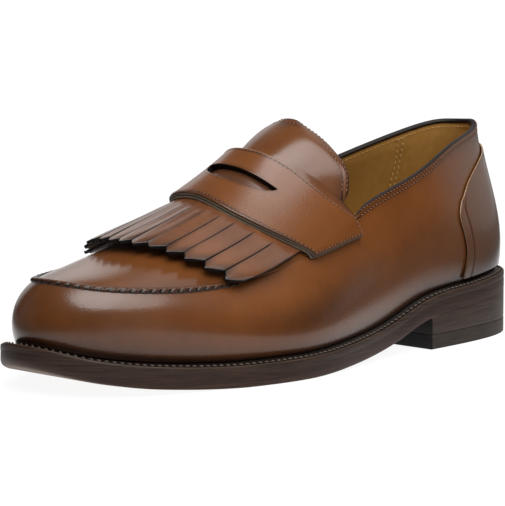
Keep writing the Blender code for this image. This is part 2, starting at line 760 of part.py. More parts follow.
def build_kiltie(collection, finish):
    """Comb of pointed strips that share a band under the strap."""
    gap = KILTIE_SLIT / APRON_HALF_BREADTH
    width = (2 * KILTIE_HALF_SPAN - gap * (KILTIE_STRIPS - 1)) / KILTIE_STRIPS
    lines = []
    for i in range(KILTIE_STRIPS):
        left = -KILTIE_HALF_SPAN + i * (width + gap)
        lines += [left, left + width / 2, left + width]
    across = np.array(lines)
    front = hermite(column(KILTIE_FRONT, "across"), column(KILTIE_FRONT, "girth"), across)
    point = KILTIE_POINT / SIDE_LENGTH
    tip = np.tile([0.0, point, 0.0], KILTIE_STRIPS)
    shares = np.linspace(0, 1, KILTIE_LENGTH_STEPS + 1)
    band = np.linspace(KILTIE_ROOT_GIRTH, KILTIE_BAND_GIRTH, 3)[:-1]
    girth_rows = [np.full_like(across, g) for g in band]
    girth_rows += [KILTIE_BAND_GIRTH + (front - KILTIE_BAND_GIRTH) * s for s in shares]
    girth_rows[-1] = girth_rows[-1] + tip
    girth = np.stack(girth_rows)
    share = (girth - KILTIE_BAND_GIRTH) / (front - KILTIE_BAND_GIRTH)
    spread = KILTIE_ROOT_SPAN + (KILTIE_HALF_SPAN - KILTIE_ROOT_SPAN) * smooth_step(share) ** 2
    wide = across * spread / KILTIE_HALF_SPAN
    low = vamp_offset(girth, wide, kiltie_lift(share, wide))
    columns = len(across)
    faces = []
    for i, j in np.ndindex(len(girth) - 1, columns - 1):
        between_strips = j % 3 == 2
        if between_strips and i >= len(band):
            continue
        a = i * columns + j
        faces.append((a, a + 1, a + columns + 1, a + columns))
    flap = add_object("kiltie", low.reshape(-1, 3), faces, collection, finish["kiltie"])
    depth = flap.modifiers.new("thickness", "SOLIDIFY")
    depth.thickness = KILTIE_THICKNESS * MM
    depth.offset = 1
    depth.use_even_offset = True
    turn_up(flap)


def turn_up(flap):
    """Make an open skin face upwards, so that its thickness goes away from the foot."""
    work = bmesh.new()
    work.from_mesh(flap.data)
    if sum(face.normal.z for face in work.faces) < 0:
        bmesh.ops.reverse_faces(work, faces=work.faces)
    work.to_mesh(flap.data)
    work.free()


def build_back_stay(collection, finish):
    """Heel panel on the wall's own columns, ending in S-shaped front edges."""
    lines = collar_girths()
    lines = lines[np.abs(lines) < STAY_TOP[-2].reach]
    end = STAY_TOP[-1].reach
    lines = np.concatenate([[-end], lines, [end]])
    top = hermite(column(STAY_TOP, "reach"), column(STAY_TOP, "rise"), np.abs(lines))
    climb = np.linspace(0, 1, WALL_RISES + 1)[:, None]
    rise = STAY_FOOT + (top - STAY_FOOT) * climb
    girth = np.broadcast_to(lines, rise.shape).copy()
    edge = hermite(column(STAY_EDGE, "rise"), column(STAY_EDGE, "reach"), rise[:, -1])
    girth[:, 0] = -edge
    girth[:, -1] = edge
    low = wall_offset(girth, rise, np.full_like(girth, STAY_GAP))
    high = wall_offset(girth, rise, np.full_like(girth, STAY_GAP + STAY_THICKNESS))
    verts, faces = thick_grid(low, high)
    add_object("back_stay", verts, faces, collection, finish["stay"])


def bind_edge(name, edge, up, out, collection, material):
    """Folded edge: a strip that sits on a rim and stands a little proud on both sides."""
    lift = [BINDING_GAP, BINDING_GAP + BINDING_HEIGHT]
    spread = [BINDING_SPREAD, -UPPER_WALL - BINDING_SPREAD]
    ring = [edge + up * h + out * s for s, h in (
        (spread[0], lift[0]),
        (spread[0] * BINDING_TAPER, lift[1]),
        (-UPPER_WALL - BINDING_SPREAD * BINDING_TAPER, lift[1]),
        (spread[1], lift[0]),
    )]
    verts, faces = skin(np.stack(ring, axis=1))
    add_object(name, verts, faces, collection, material)


def around_tongue(rows):
    """Values along the tongue's free edge, up the inner side, over the top and down the outer."""
    return np.concatenate([rows[:, 0], rows[-1, 1:-1], rows[::-1, -1]])


def build_bindings(collection, finish):
    """Bindings of the topline and of the tongue's free edge."""
    end = THROAT_GIRTH - BINDING_SHORT
    girths = np.linspace(-end, end, 2 * COLLAR_STEPS + 1)
    edge = wall_point(girths, 1.0)
    up = unit(edge - wall_point(girths, 1 - RIM_SIGHT))
    out = -surface_normal(wall_point, girths, np.full_like(girths, 1 - RIM_SIGHT / 2))
    bind_edge("collar_binding", edge, up, out, collection, finish["binding"])

    across = np.linspace(-1, 1, APRON_STEPS + 1)
    rows = np.stack(tongue_rows(across))[1:]
    square = unit(np.cross(np.gradient(rows, axis=1), np.gradient(rows, axis=0)))
    square *= np.sign(square[..., :1] + square[..., 2:])
    edge = around_tongue(rows)
    out = around_tongue(square)
    along = unit(np.gradient(edge, axis=0))
    up = unit(np.cross(along, out))
    up *= np.sign((up * (edge - rows[0].mean(axis=0))).sum(-1, keepdims=True))
    up[1:-1] = unit(up[:-2] + up[1:-1] + up[2:])
    bind_edge("tongue_binding", edge, up, out, collection, finish["binding"])


def make_finishes():
    """Materials of the pieces, by the name of the finish."""
    return {
        "upper": leather("burnished_calf", (0.20, 0.055, 0.020), 0.28),
        "strap": leather("strap_calf", (0.20, 0.055, 0.020), 0.28),
        "kiltie": leather("kiltie_calf", (0.21, 0.06, 0.022), 0.30),
        "seam": leather("seam_calf", (0.24, 0.075, 0.030), 0.32),
        "stay": leather("stay_calf", (0.17, 0.045, 0.017), 0.28),
        "binding": leather("dark_binding", (0.012, 0.008, 0.007), 0.45),
        "welt": leather("dark_welt", (0.045, 0.020, 0.014), 0.50),
        "outsole": leather("sole_leather", (0.035, 0.016, 0.011), 0.48),
        "heel": leather("heel_leather", (0.022, 0.012, 0.010), 0.45),
        "top_lift": leather("top_lift_rubber", (0.010, 0.009, 0.009), 0.60),
        "insole": leather("sock_leather", (0.33, 0.17, 0.07), 0.50),
    }


def main():
    clear_scene()
    collection = bpy.data.collections.new("kiltie_loafer")
    cutters = bpy.data.collections.new("kiltie_loafer_cutters")
    bpy.context.scene.collection.children.link(collection)
    bpy.context.scene.collection.children.link(cutters)
    finish = make_finishes()
    build_bottom(collection, finish)
    build_welt(collection, finish)
    build_upper(collection, finish)
    build_seam(collection, finish)
    build_kiltie(collection, finish)
    build_strap(collection, cutters, finish)
    build_back_stay(collection, finish)
    build_bindings(collection, finish)


main()
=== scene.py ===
import math

import bmesh
import bpy
import numpy as np
from mathutils import Matrix


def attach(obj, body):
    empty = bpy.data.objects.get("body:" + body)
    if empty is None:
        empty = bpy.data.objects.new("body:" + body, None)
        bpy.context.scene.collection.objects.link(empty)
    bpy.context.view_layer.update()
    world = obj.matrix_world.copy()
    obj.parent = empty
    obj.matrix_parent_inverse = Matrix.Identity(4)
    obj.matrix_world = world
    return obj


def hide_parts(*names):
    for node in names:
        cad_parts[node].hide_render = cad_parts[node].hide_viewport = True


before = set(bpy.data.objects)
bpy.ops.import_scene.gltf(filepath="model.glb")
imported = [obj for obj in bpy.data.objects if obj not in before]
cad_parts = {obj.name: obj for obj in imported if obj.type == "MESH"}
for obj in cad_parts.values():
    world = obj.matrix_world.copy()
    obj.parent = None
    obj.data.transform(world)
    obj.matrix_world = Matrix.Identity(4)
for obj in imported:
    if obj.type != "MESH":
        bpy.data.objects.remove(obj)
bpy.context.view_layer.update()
print("frame loaded")

# Last and bottom in millimetres. Station runs from the heel back to the toe, breadth towards the
# outer side, height from the floor. Girth: 0 heel, 1 toe tip by the outer side, 2 by the inner side.
last = dict(
    length=296.0, centre=4.1, heelLength=80.0, topLift=7.0, outsole=6.0, welt=3.3, weltRise=0.9,
    seatGap=0.3, insole=3.0, wall=2.0, bellyRise=0.36, throat=0.445, sideLength=330.0,
    outlineSteps=6000, outlineWrap=6,
    soleRows=[  # station, outer breadth, inner breadth
        (6, 19, 18.5), (18, 27.5, 27), (37, 33.5, 32.5), (68, 38, 34.5), (106, 42.5, 33.5),
        (143, 51.5, 36), (176, 57.5, 43), (200, 57, 48), (225, 52.3, 49.5), (249, 46.3, 45),
        (270, 37.6, 34.6), (285, 26.6, 24.4), (293, 14.4, 13)],
    toeTip=(296.0, 0.8),
    bottomRows=[  # station, height of the outsole's underside
        (0, 21), (40, 18.2), (80, 14.6), (110, 6.2), (152, 1.2), (178, 0), (196, 0), (214, 0),
        (243, 1.6), (268, 4.4), (282, 7.2), (296, 12.2)],
    weltRows=[(0, 4.2), (80, 4.2), (140, 4.5), (200, 6.0), (296, 6.8)],  # station, width shown
    wallRows=[  # girth, station, breadth and height of the top edge, belly, shoulder, drop
        (0.000, 12.8, 0.0, 100.0, 4.4, 2.5, 24), (0.060, 15.2, 8.4, 99.9, 4.4, 3.0, 25),
        (0.120, 24, 15.6, 96.9, 4.8, 3.0, 26), (0.200, 50, 25.9, 92.0, 5.6, 3.0, 22),
        (0.300, 82, 33.0, 80.8, 5.0, 2.5, 20), (0.380, 107, 34.2, 73.0, 4.5, 3.0, 18),
        (0.445, 127, 34.8, 65.5, 4.0, 5.0, 14), (0.520, 155, 38.8, 54.0, 4.0, 7.0, 12),
        (0.600, 185, 41.3, 46.2, 5.0, 8.0, 11), (0.680, 212, 41.2, 43.3, 5.5, 8.0, 10),
        (0.760, 236, 38.8, 42.8, 5.0, 7.5, 9), (0.830, 256, 33.8, 43.8, 4.5, 7.5, 8),
        (0.890, 270, 25.5, 45.0, 4.0, 8.0, 7), (0.945, 278, 14.5, 46.4, 3.5, 8.0, 7),
        (1.000, 281.5, 1.5, 47.2, 3.0, 8.0, 7), (1.055, 277, -11.0, 46.0, 3.8, 9.5, 7),
        (1.110, 266, -22.0, 45.0, 4.4, 9.5, 7), (1.170, 248, -31.0, 45.1, 4.5, 8.5, 8),
        (1.240, 226, -36.0, 47.2, 5.0, 7.5, 9), (1.320, 203, -37.5, 50.2, 4.5, 8.0, 10),
        (1.400, 179, -36.0, 54.2, 3.5, 7.5, 11), (1.480, 152, -33.8, 60.0, 2.5, 6.0, 12),
        (1.555, 126, -32.5, 67.5, 2.5, 4.5, 14), (1.620, 106, -32.0, 74.6, 3.0, 3.0, 18),
        (1.700, 82, -31.0, 81.4, 4.0, 2.5, 20), (1.800, 50, -25.2, 90.9, 5.5, 3.0, 22),
        (1.880, 24, -15.6, 98.6, 4.8, 3.0, 26), (1.940, 15.2, -8.4, 99.8, 4.4, 3.0, 25)],
    wallWrap=5,
    crestRows=[  # station, breadth, height
        (134, -0.5, 108.2), (150, 0, 99.3), (167, 0.3, 88.3), (194, 1.0, 73.2), (210, 1.2, 64.9),
        (232, 1.5, 56.6), (248, 1.5, 52.8), (263, 1.5, 50.0), (281.5, 1.5, 47.2)],
    crestLead=36.0, crestLeadPower=1.6, toeBow=4.0, toeBowShare=0.09, vampArch=2.5,
    tongueArch=2.5, tongueCentre=-0.5,
    tongueRows=[  # station, half breadth and height of the free edge, station of the crest
        (133.0, 33.5, 72.0, 157.0), (131.5, 33.0, 78.0, 150.5), (130.0, 31.5, 84.0, 145.5),
        (130.0, 28.5, 89.5, 141.8), (131.0, 23.5, 95.3, 139.0), (132.2, 17.5, 100.4, 137.0),
        (133.2, 11.5, 103.8, 135.4)],
)
probe = dict(vamp=0.012, wall=0.004, tongue=0.01)  # steps in the parameters over which normals are read
belowTop = 0.96  # rise a little under the top edge, from which its direction is read
farFromEdge = 50.0  # tone "edge" where no free edge is near
weldGap = 2e-6  # metres
up = np.array([0.0, 0.0, 1.0])


# natural cubic spline: the second slopes solve one linear system, each span is then a cubic
def splineThrough(knots, values, at):
    x = np.asarray(knots, float)
    flat = np.ndim(values) == 1
    y = np.asarray(values, float).reshape(len(x), -1)
    h = np.diff(x)
    k = np.arange(1, len(x) - 1)
    system = np.eye(len(x))
    system[k, k - 1], system[k, k], system[k, k + 1] = h[:-1], 2 * (h[:-1] + h[1:]), h[1:]
    rise = np.diff(y, axis=0) / h[:, None]
    right = np.zeros_like(y)
    right[k] = 6 * np.diff(rise, axis=0)
    bend = np.linalg.solve(system, right)
    at = np.asarray(at, float)
    i = np.clip(np.searchsorted(x, at, side="right") - 1, 0, len(x) - 2)
    span = h[i][..., None]
    w = (at - x[i])[..., None] / span
    v = 1 - w
    made = v * y[i] + w * y[i + 1] + ((v**3 - v) * bend[i] + (w**3 - w) * bend[i + 1]) * span**2 / 6
    return made[..., 0] if flat else made


# cubic through the points with each slope taken from its neighbours, which keeps a flat run flat
def hermite(rows, at):
    x, y = np.asarray(rows, float).T
    slope = np.gradient(y, x)
    at = np.asarray(at, float)
    i = np.clip(np.searchsorted(x, at, side="right") - 1, 0, len(x) - 2)
    span = x[i + 1] - x[i]
    w = (at - x[i]) / span
    return ((2 * w**3 - 3 * w**2 + 1) * y[i] + (w**3 - 2 * w**2 + w) * span * slope[i]
            + (3 * w**2 - 2 * w**3) * y[i + 1] + (w**3 - w**2) * span * slope[i + 1])


def unit(v):
    return v / np.maximum(np.linalg.norm(v, axis=-1, keepdims=True), 1e-12)


def smoothStep(x):
    x = np.clip(x, 0.0, 1.0)
    return x * x * (3 - 2 * x)


# soft rise by an amount, from a start over a span; with a span below 0 it falls instead
def ramped(x, amount, start, span):
    return amount * smoothStep((x - start) / span)


# amount at an edge that fades out over a reach
def fading(away, amount, reach):
    return amount * smoothStep(1 - away / reach)


# hump of height 1 at the middle, falling off as a bell
def bell(x, middle, width):
    return np.exp(-((x - middle) / width) ** 2)


def patch(a, b, amount, middle, width, high, tall):
    return amount * bell(a, middle, width) * bell(b, high, tall)


def gridOf(a, b):
    return np.meshgrid(a, b, indexing="ij")


# length run along one way of a grid of points, from its first row or column
def wayAlong(grid, axis=0):
    steps = np.linalg.norm(np.diff(grid, axis=axis), axis=-1)
    return np.concatenate([np.zeros_like(steps.take([0], axis)), np.cumsum(steps, axis)], axis)


# way across a grid to the nearer of its two sides, and way up it to its last row
def fromSides(grid):
    way = wayAlong(grid, 1)
    return np.minimum(way, way[:, -1:] - way)


def fromTop(grid):
    return wayAlong(grid[::-1])[::-1]


# columns of values read at places along a path, straight between its points
def readAlong(at, steps, values):
    return np.stack([np.interp(at, steps, column) for column in values.T], axis=-1)


# closed sole outline: spline through heel, outer rows, toe tip and inner rows, with plan normals
def soleOutline():
    outer = [(r[0], r[1]) for r in last["soleRows"]]
    inner = [(r[0], -r[2]) for r in reversed(last["soleRows"])]
    corners = np.array([(0.0, 0.0)] + outer + [last["toeTip"]] + inner)
    wrap = last["outlineWrap"]
    wrapped = np.concatenate([corners[-wrap:], corners, corners[:wrap + 1]])
    knots = wayAlong(wrapped)
    at = np.linspace(knots[wrap], knots[wrap + len(corners)], last["outlineSteps"] + 1)
    loop = splineThrough(knots, wrapped, at)
    along = unit(np.gradient(loop, axis=0))
    along[[0, -1]] = unit(along[1] + along[-2])
    return loop, np.stack([-along[:, 1], along[:, 0]], axis=1)


loop, loopOut = soleOutline()


def weltWidth(station):
    return hermite(last["weltRows"], station)


def bottomHeight(station):
    return np.maximum(hermite(last["bottomRows"], station), 0.0)


def insetLoop(extra):
    return loop - loopOut * (weltWidth(loop[:, 0]) + extra)[:, None]


feather = insetLoop(0.0)
toeIndex = int(np.argmax(feather[:, 0]))
featherSteps = wayAlong(feather)
featherGirth = np.where(
    np.arange(len(feather)) <= toeIndex, featherSteps / featherSteps[toeIndex],
    1 + (featherSteps - featherSteps[toeIndex]) / (featherSteps[-1] - featherSteps[toeIndex]))
featherRise = last["outsole"] + last["welt"] + last["weltRise"] + 2 * last["seatGap"]
wallTable = np.array(last["wallRows"])
before, after = wallTable[-last["wallWrap"]:], wallTable[:last["wallWrap"]]
wallKnots = np.concatenate([before[:, 0] - 2, wallTable[:, 0], after[:, 0] + 2])
wallValues = np.concatenate([before[:, 1:], wallTable[:, 1:], after[:, 1:]])
crestTable = np.array(last["crestRows"])


def featherPoint(girth):
    girth = np.mod(girth, 2.0)
    plan, out = (readAlong(girth, featherGirth, values) for values in (feather, loopOut))
    level = bottomHeight(plan[..., :1]) + featherRise
    return np.concatenate([plan, level], axis=-1), unit(np.concatenate([out, 0 * level], axis=-1))


# wall: cubic Bezier from feather line to top edge, pulled out by belly and shoulder
def wallPoint(girth, rise):
    girth, rise = np.broadcast_arrays(np.mod(girth, 2.0), np.asarray(rise, float))
    foot, out = featherPoint(girth)
    row = splineThrough(wallKnots, wallValues, girth)
    top = row[..., :3]
    lowPull = foot + out * row[..., 3:4] + up * (top - foot)[..., 2:] * last["bellyRise"]
    highPull = top + out * row[..., 4:5] - up * row[..., 5:6]
    t = rise[..., None]
    return ((1 - t) ** 3 * foot + 3 * t * (1 - t) ** 2 * lowPull
            + 3 * t**2 * (1 - t) * highPull + t**3 * top)


def crestPoint(station):
    station = np.asarray(station, float)
    return np.concatenate([station[..., None],
                           splineThrough(crestTable[:, 0], crestTable[:, 1:], station)], axis=-1)


# arch: chord from inner to outer end plus the crest's rise times 1 - |across|^power
def archOver(inner, crest, outer, across, power):
    c = np.asarray(across, float)[..., None]
    chord = inner * (1 - c) / 2 + outer * (1 + c) / 2
    return chord + (crest - (inner + outer) / 2) * (1 - np.abs(c) ** power)


# apron row named by its girth on the outer side; past |across| 1 it runs down the wall
def vampPoint(girth, across):
    girth, across = np.broadcast_arrays(np.asarray(girth, float), np.asarray(across, float))
    reach = np.abs(across)
    outer, inner = wallPoint(girth, 1.0), wallPoint(2 - girth, 1.0)
    share = np.clip((1 - girth) / (1 - last["throat"]), 0, None)
    nearToe = share / last["toeBowShare"]
    lead = last["crestLead"] * share ** last["crestLeadPower"]
    lead = lead - last["toeBow"] * nearToe * np.exp(1 - nearToe)
    crest = crestPoint((outer[..., 0] + inner[..., 0]) / 2 + lead)
    top = archOver(inner, crest, outer, np.clip(across, -1, 1), last["vampArch"])
    low = wallPoint(np.where(across >= 0, girth, 2 - girth), np.clip(2 - reach, 0, 1))
    return np.where((reach <= 1)[..., None], top, low)


# tongue above the throat: the table's columns run on from the throat row by a spline
def tonguePoint(climb, across):
    climb, across = np.broadcast_arrays(np.asarray(climb, float), np.asarray(across, float))
    rows = np.array(last["tongueRows"])
    row = splineThrough(np.linspace(0, 1, len(rows)), rows, climb)
    outer, inner = (np.stack([row[..., 0], last["tongueCentre"] + way * row[..., 1], row[..., 2]], axis=-1)
                    for way in (1, -1))
    return archOver(inner, crestPoint(row[..., 3]), outer, across, last["tongueArch"])


def normalOf(surface, a, b, step):
    along = surface(a + step, b) - surface(a - step, b)
    over = surface(a, b + step) - surface(a, b - step)
    return unit(np.cross(along, over))


def wallOut(girth, rise):
    return -normalOf(wallPoint, girth, rise, probe["wall"])


def vampOffset(girth, across, lift):
    out = normalOf(vampPoint, girth, across, probe["vamp"])
    return vampPoint(girth, across) + out * np.asarray(lift)[..., None]


def wallOffset(girth, rise, lift):
    return wallPoint(girth, rise) + wallOut(girth, rise) * np.asarray(lift)[..., None]


# rise that lies a given way below the top edge
def riseBelow(girth, depth, span=0.02):
    return 1 - depth / (np.linalg.norm(wallPoint(girth, 1.0) - wallPoint(girth, 1 - span), axis=-1) / span)


def awayFromHeel(girth):
    return np.abs(np.mod(girth + 1, 2.0) - 1)


def toFrame(points):
    p = np.asarray(points, float)
    return np.stack([p[..., 1] - last["centre"], last["length"] / 2 - p[..., 0], p[..., 2]], axis=-1) * 0.001


# one sheet of a piece: grid of points, optional tones for the shader, material index, closed ways
def sheet(points, tones=None, material=0, closeRows=False, closeCols=False, flip=False):
    rows, cols = points.shape[:2]
    i = np.arange(rows if closeRows else rows - 1)[:, None]
    j = np.arange(cols if closeCols else cols - 1)[None, :]
    i2, j2 = (i + 1) % rows, (j + 1) % cols
    corners = np.broadcast_arrays(i * cols + j, i * cols + j2, i2 * cols + j2, i2 * cols + j)
    faces = np.stack(corners, -1).reshape(-1, 4)
    tones = {k: np.broadcast_to(v, (rows, cols)).reshape(-1) for k, v in (tones or {}).items()}
    return dict(points=points.reshape(-1, 3), faces=faces[:, ::-1] if flip else faces, tones=tones,
                material=material)


# mesh of several sheets, put in with foreach_set, riding on the root body
def addPiece(name, sheets, materials, replaces=(), wall=0.0, merge=False):
    start = np.cumsum([0] + [len(s["points"]) for s in sheets])
    points = toFrame(np.concatenate([s["points"] for s in sheets])).astype(np.float32)
    faces = np.concatenate([s["faces"] + k for s, k in zip(sheets, start)]).astype(np.int32)
    mesh = bpy.data.meshes.new(name)
    mesh.vertices.add(len(points))
    mesh.vertices.foreach_set("co", points.reshape(-1))
    mesh.loops.add(faces.size)
    mesh.loops.foreach_set("vertex_index", faces.reshape(-1))
    mesh.polygons.add(len(faces))
    mesh.polygons.foreach_set("loop_start", np.arange(0, faces.size, 4, dtype=np.int32))
    mesh.polygons.foreach_set("material_index", np.concatenate(
        [np.full(len(s["faces"]), s["material"], np.int32) for s in sheets]))
    mesh.update(calc_edges=True)
    for tone in sorted({k for s in sheets for k in s["tones"]}):
        plain = farFromEdge if tone == "edge" else 0.0
        values = np.concatenate([s["tones"].get(tone, np.full(len(s["points"]), plain)) for s in sheets])
        mesh.attributes.new(tone, "FLOAT", "POINT").data.foreach_set("value", values.astype(np.float32))
    for material in materials:
        mesh.materials.append(material)
    if merge:
        work = bmesh.new()
        work.from_mesh(mesh)
        bmesh.ops.remove_doubles(work, verts=work.verts, dist=weldGap)
        work.to_mesh(mesh)
        work.free()
    mesh.validate()
    mesh.shade_smooth()
    piece = bpy.data.objects.new(name, mesh)
    bpy.context.scene.collection.objects.link(piece)
    if wall:
        depth = piece.modifiers.new("wall", "SOLIDIFY")
        depth.thickness = wall * 0.001
        depth.offset = -1
        depth.use_even_offset = True
    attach(piece, "root")
    if replaces:
        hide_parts(*replaces)


bead = dict(rings=7, around=6, taper=3.0, swell=0.5, reach=0.2)


# thread stitches: small tapered beads laid end to end along a path on a surface, as one array
def stitchSheets(path, normals, length, gap, radius, lift=0.0, slant=0.0, material=0):
    steps = wayAlong(path)
    count = max(1, int(steps[-1] / (length + gap)))
    s = np.linspace(-1, 1, bead["rings"])
    turn = np.linspace(0, 2 * np.pi, bead["around"], endpoint=False)
    middle = (np.arange(count) + 0.5) * steps[-1] / count
    at = middle[:, None] + s[None, :] * length / 2
    centre, normal = readAlong(at, steps, path), unit(readAlong(at, steps, normals))
    along = unit(readAlong(at + bead["reach"], steps, path) - readAlong(at - bead["reach"], steps, path))
    side = unit(np.cross(along, normal))
    thick = radius * np.sqrt(np.clip(1 - np.abs(s) ** bead["taper"], 1e-6, 1))[None, :, None]
    hump = lift + radius * bead["swell"] * (1 - s**2)[None, :, None]
    centre = centre + normal * hump + side * slant * s[None, :, None]
    ring = (centre[:, :, None] + side[:, :, None] * (np.cos(turn)[:, None] * thick[..., None, :])
            + normal[:, :, None] * (np.sin(turn)[:, None] * thick[..., None, :]))
    return [sheet(r, material=material, closeCols=True, flip=True) for r in ring]


# colour as a hex code to linear light
def linear(hexColour, alpha=1.0):
    c = np.array([int(hexColour[i:i + 2], 16) for i in (1, 3, 5)]) / 255
    c = np.where(c <= 0.04045, c / 12.92, ((c + 0.055) / 1.055) ** 2.4)
    return (*c.tolist(), alpha)


# values and links of a node; a link names its source, with the output unless it is the first
def setInputs(tree, node, values=None, links=None):
    for key, value in (values or {}).items():
        node.inputs[key].default_value = value
    for key, link in (links or {}).items():
        source, output = link if isinstance(link, tuple) else (link, 0)
        tree.links.new(source.outputs[output], node.inputs[key])


def addNode(tree, kind, values=None, links=None, **settings):
    node = tree.nodes.new("ShaderNode" + kind)
    for key, value in settings.items():
        setattr(node, key, value)
    setInputs(tree, node, values, links)
    return node


def setStops(ramp, stops):
    for k, (at, colour) in enumerate(stops):
        stop = ramp.color_ramp.elements[k] if k < 2 else ramp.color_ramp.elements.new(at)
        stop.position, stop.color = at, colour


def newMaterial(name):
    material = bpy.data.materials.new(name)
    material.use_nodes = True
    tree = material.node_tree
    return material, tree, tree.nodes["Principled BSDF"]


# burnished calf: aniline-dyed, waxed and polished hide; warm body, darker where it was burnished
# and where shade is painted in; cloudy patina about 30 mm across, clear wax gloss on top; pores 0.7 mm
# and pebbles 1.1 mm apart, which is coarser than on the real hide, so that they show
def burnishedCalf(name, tones):
    material, tree, shader = newMaterial(name)
    coord = addNode(tree, "TexCoord")
    place = {"Vector": (coord, "Object")}
    cloud = addNode(tree, "TexNoise", {"Scale": 34.0, "Detail": 3.0, "Roughness": 0.55}, place)
    mottle = addNode(tree, "TexNoise", {"Scale": 190.0, "Detail": 4.0, "Roughness": 0.6}, place)
    burnish, edge, pale, crease = (addNode(tree, "Attribute", attribute_name=tone)
                                   for tone in ("burnish", "edge", "pale", "crease"))
    cloudy = addNode(tree, "MapRange", {"From Min": 0.36, "From Max": 0.64}, {"Value": cloud})
    body = addNode(tree, "Mix", {6: linear(tones["body"]), 7: linear(tones["warm"])}, {0: cloudy},
                   data_type="RGBA")
    ragged = addNode(tree, "Math", {1: 0.22, 2: -0.11}, {0: mottle}, operation="MULTIPLY_ADD")
    dark = addNode(tree, "Math", None, {0: (burnish, "Fac"), 1: ragged}, operation="ADD", use_clamp=True)
    # the tone mixes the body towards the dark colour: real burnish, and painted shade where a piece sets it
    shade = addNode(tree, "Mix", {7: linear(tones["dark"])}, {0: dark, 6: (body, 2)}, data_type="RGBA")
    # dark lines painted beside the rows of stitches, given by the distance from the edge: painted shade of
    # the sunken needle channels
    lines = None
    for at in tones.get("channels", ()):
        away = addNode(tree, "Math", {1: at}, {0: (edge, "Fac")}, operation="SUBTRACT")
        away = addNode(tree, "Math", None, {0: away}, operation="ABSOLUTE")
        line = addNode(tree, "MapRange", {"From Min": 0.25, "From Max": 0.75, "To Min": 1.0, "To Max": 0.0},
                       {"Value": away})
        lines = line if lines is None else addNode(tree, "Math", None, {0: lines, 1: line},
                                                   operation="MAXIMUM")
    if lines is not None:
        weak = addNode(tree, "Math", {1: tones.get("channelDepth", 0.75)}, {0: lines}, operation="MULTIPLY")
        shade = addNode(tree, "Mix", {7: linear("#24120a")}, {0: weak, 6: (shade, 2)}, data_type="RGBA")
    # the tone pale mixes in a lighter colour: a painted highlight
    shade = addNode(tree, "Mix", {7: linear("#8a6a52")}, {0: (pale, "Fac"), 6: (shade, 2)}, data_type="RGBA")
    pore = addNode(tree, "TexNoise", {"Scale": 1500.0, "Detail": 2.0, "Roughness": 0.5}, place)
    pebble = addNode(tree, "TexVoronoi", {"Scale": 900.0}, place, feature="SMOOTH_F1")
    grain = addNode(tree, "Math", {1: 0.5}, {0: (pebble, "Distance"), 2: pore}, operation="MULTIPLY_ADD")
    # fine wrinkles run across the shoe where the tone "crease" is set
    across = addNode(tree, "Mapping", {"Scale": tones.get("wrinkleWay", (0.16, 1.0, 1.0))}, place)
    wrinkle = addNode(tree, "TexNoise", {"Scale": 620.0, "Detail": 1.0}, {"Vector": across})
    offMiddle = addNode(tree, "Math", {1: 0.5}, {0: wrinkle}, operation="SUBTRACT")
    offMiddle = addNode(tree, "Math", None, {0: offMiddle}, operation="ABSOLUTE")
    fold = addNode(tree, "MapRange", {"From Max": 0.07, "To Min": 1.0, "To Max": 0.0}, {"Value": offMiddle},
                   interpolation_type="SMOOTHSTEP")
    deep = addNode(tree, "Math", None, {0: fold, 1: (crease, "Fac")}, operation="MULTIPLY")
    grain = addNode(tree, "Math", {1: -0.7}, {0: deep, 2: grain}, operation="MULTIPLY_ADD")
    hide, wax = (addNode(tree, "Bump", {"Strength": tones["grain"] * share, "Distance": 0.0004},
                         {"Height": grain}) for share in (1.0, 0.6))
    smooth = tones["roughness"]
    rough = addNode(tree, "MapRange", {"To Min": smooth - 0.04, "To Max": smooth + 0.05}, {"Value": mottle})
    setInputs(tree, shader, {
        "IOR": 1.48, "Specular IOR Level": 0.42, "Coat Weight": tones["coat"],
        "Coat Roughness": tones["coatRoughness"], "Coat IOR": 1.5,
    }, {"Base Color": (shade, 2), "Normal": hide, "Coat Normal": wax, "Roughness": rough})
    return material


# plain leather, thread, ink or rubber: two tones mixed by a noise of a real size, with its bump
def toned(name, low, high, scale, roughness, bumpDepth=0.0001, bumpStrength=0.3, specular=0.5, shade=None,
          sheen=0.0):
    material, tree, shader = newMaterial(name)
    coord = addNode(tree, "TexCoord")
    noise = addNode(tree, "TexNoise", {"Scale": scale, "Detail": 4.0, "Roughness": 0.6},
                    {"Vector": (coord, "Object")})
    spread = addNode(tree, "MapRange", {"From Min": 0.32, "From Max": 0.68}, {"Value": noise})
    tint = addNode(tree, "Mix", {6: linear(low), 7: linear(high)}, {0: spread}, data_type="RGBA")
    # the shade colour is painted shade, mixed in by the piece's darkening tone
    if shade:
        burnish = addNode(tree, "Attribute", attribute_name="burnish")
        tint = addNode(tree, "Mix", {7: linear(shade)}, {0: (burnish, "Fac"), 6: (tint, 2)}, data_type="RGBA")
    rough = addNode(tree, "MapRange", {"To Min": roughness - 0.06, "To Max": roughness + 0.06},
                    {"Value": noise})
    bump = addNode(tree, "Bump", {"Strength": bumpStrength, "Distance": bumpDepth}, {"Height": noise})
    setInputs(tree, shader, {"Specular IOR Level": specular, "Sheen Weight": sheen},
              {"Base Color": (tint, 2), "Roughness": rough, "Normal": bump})
    return material


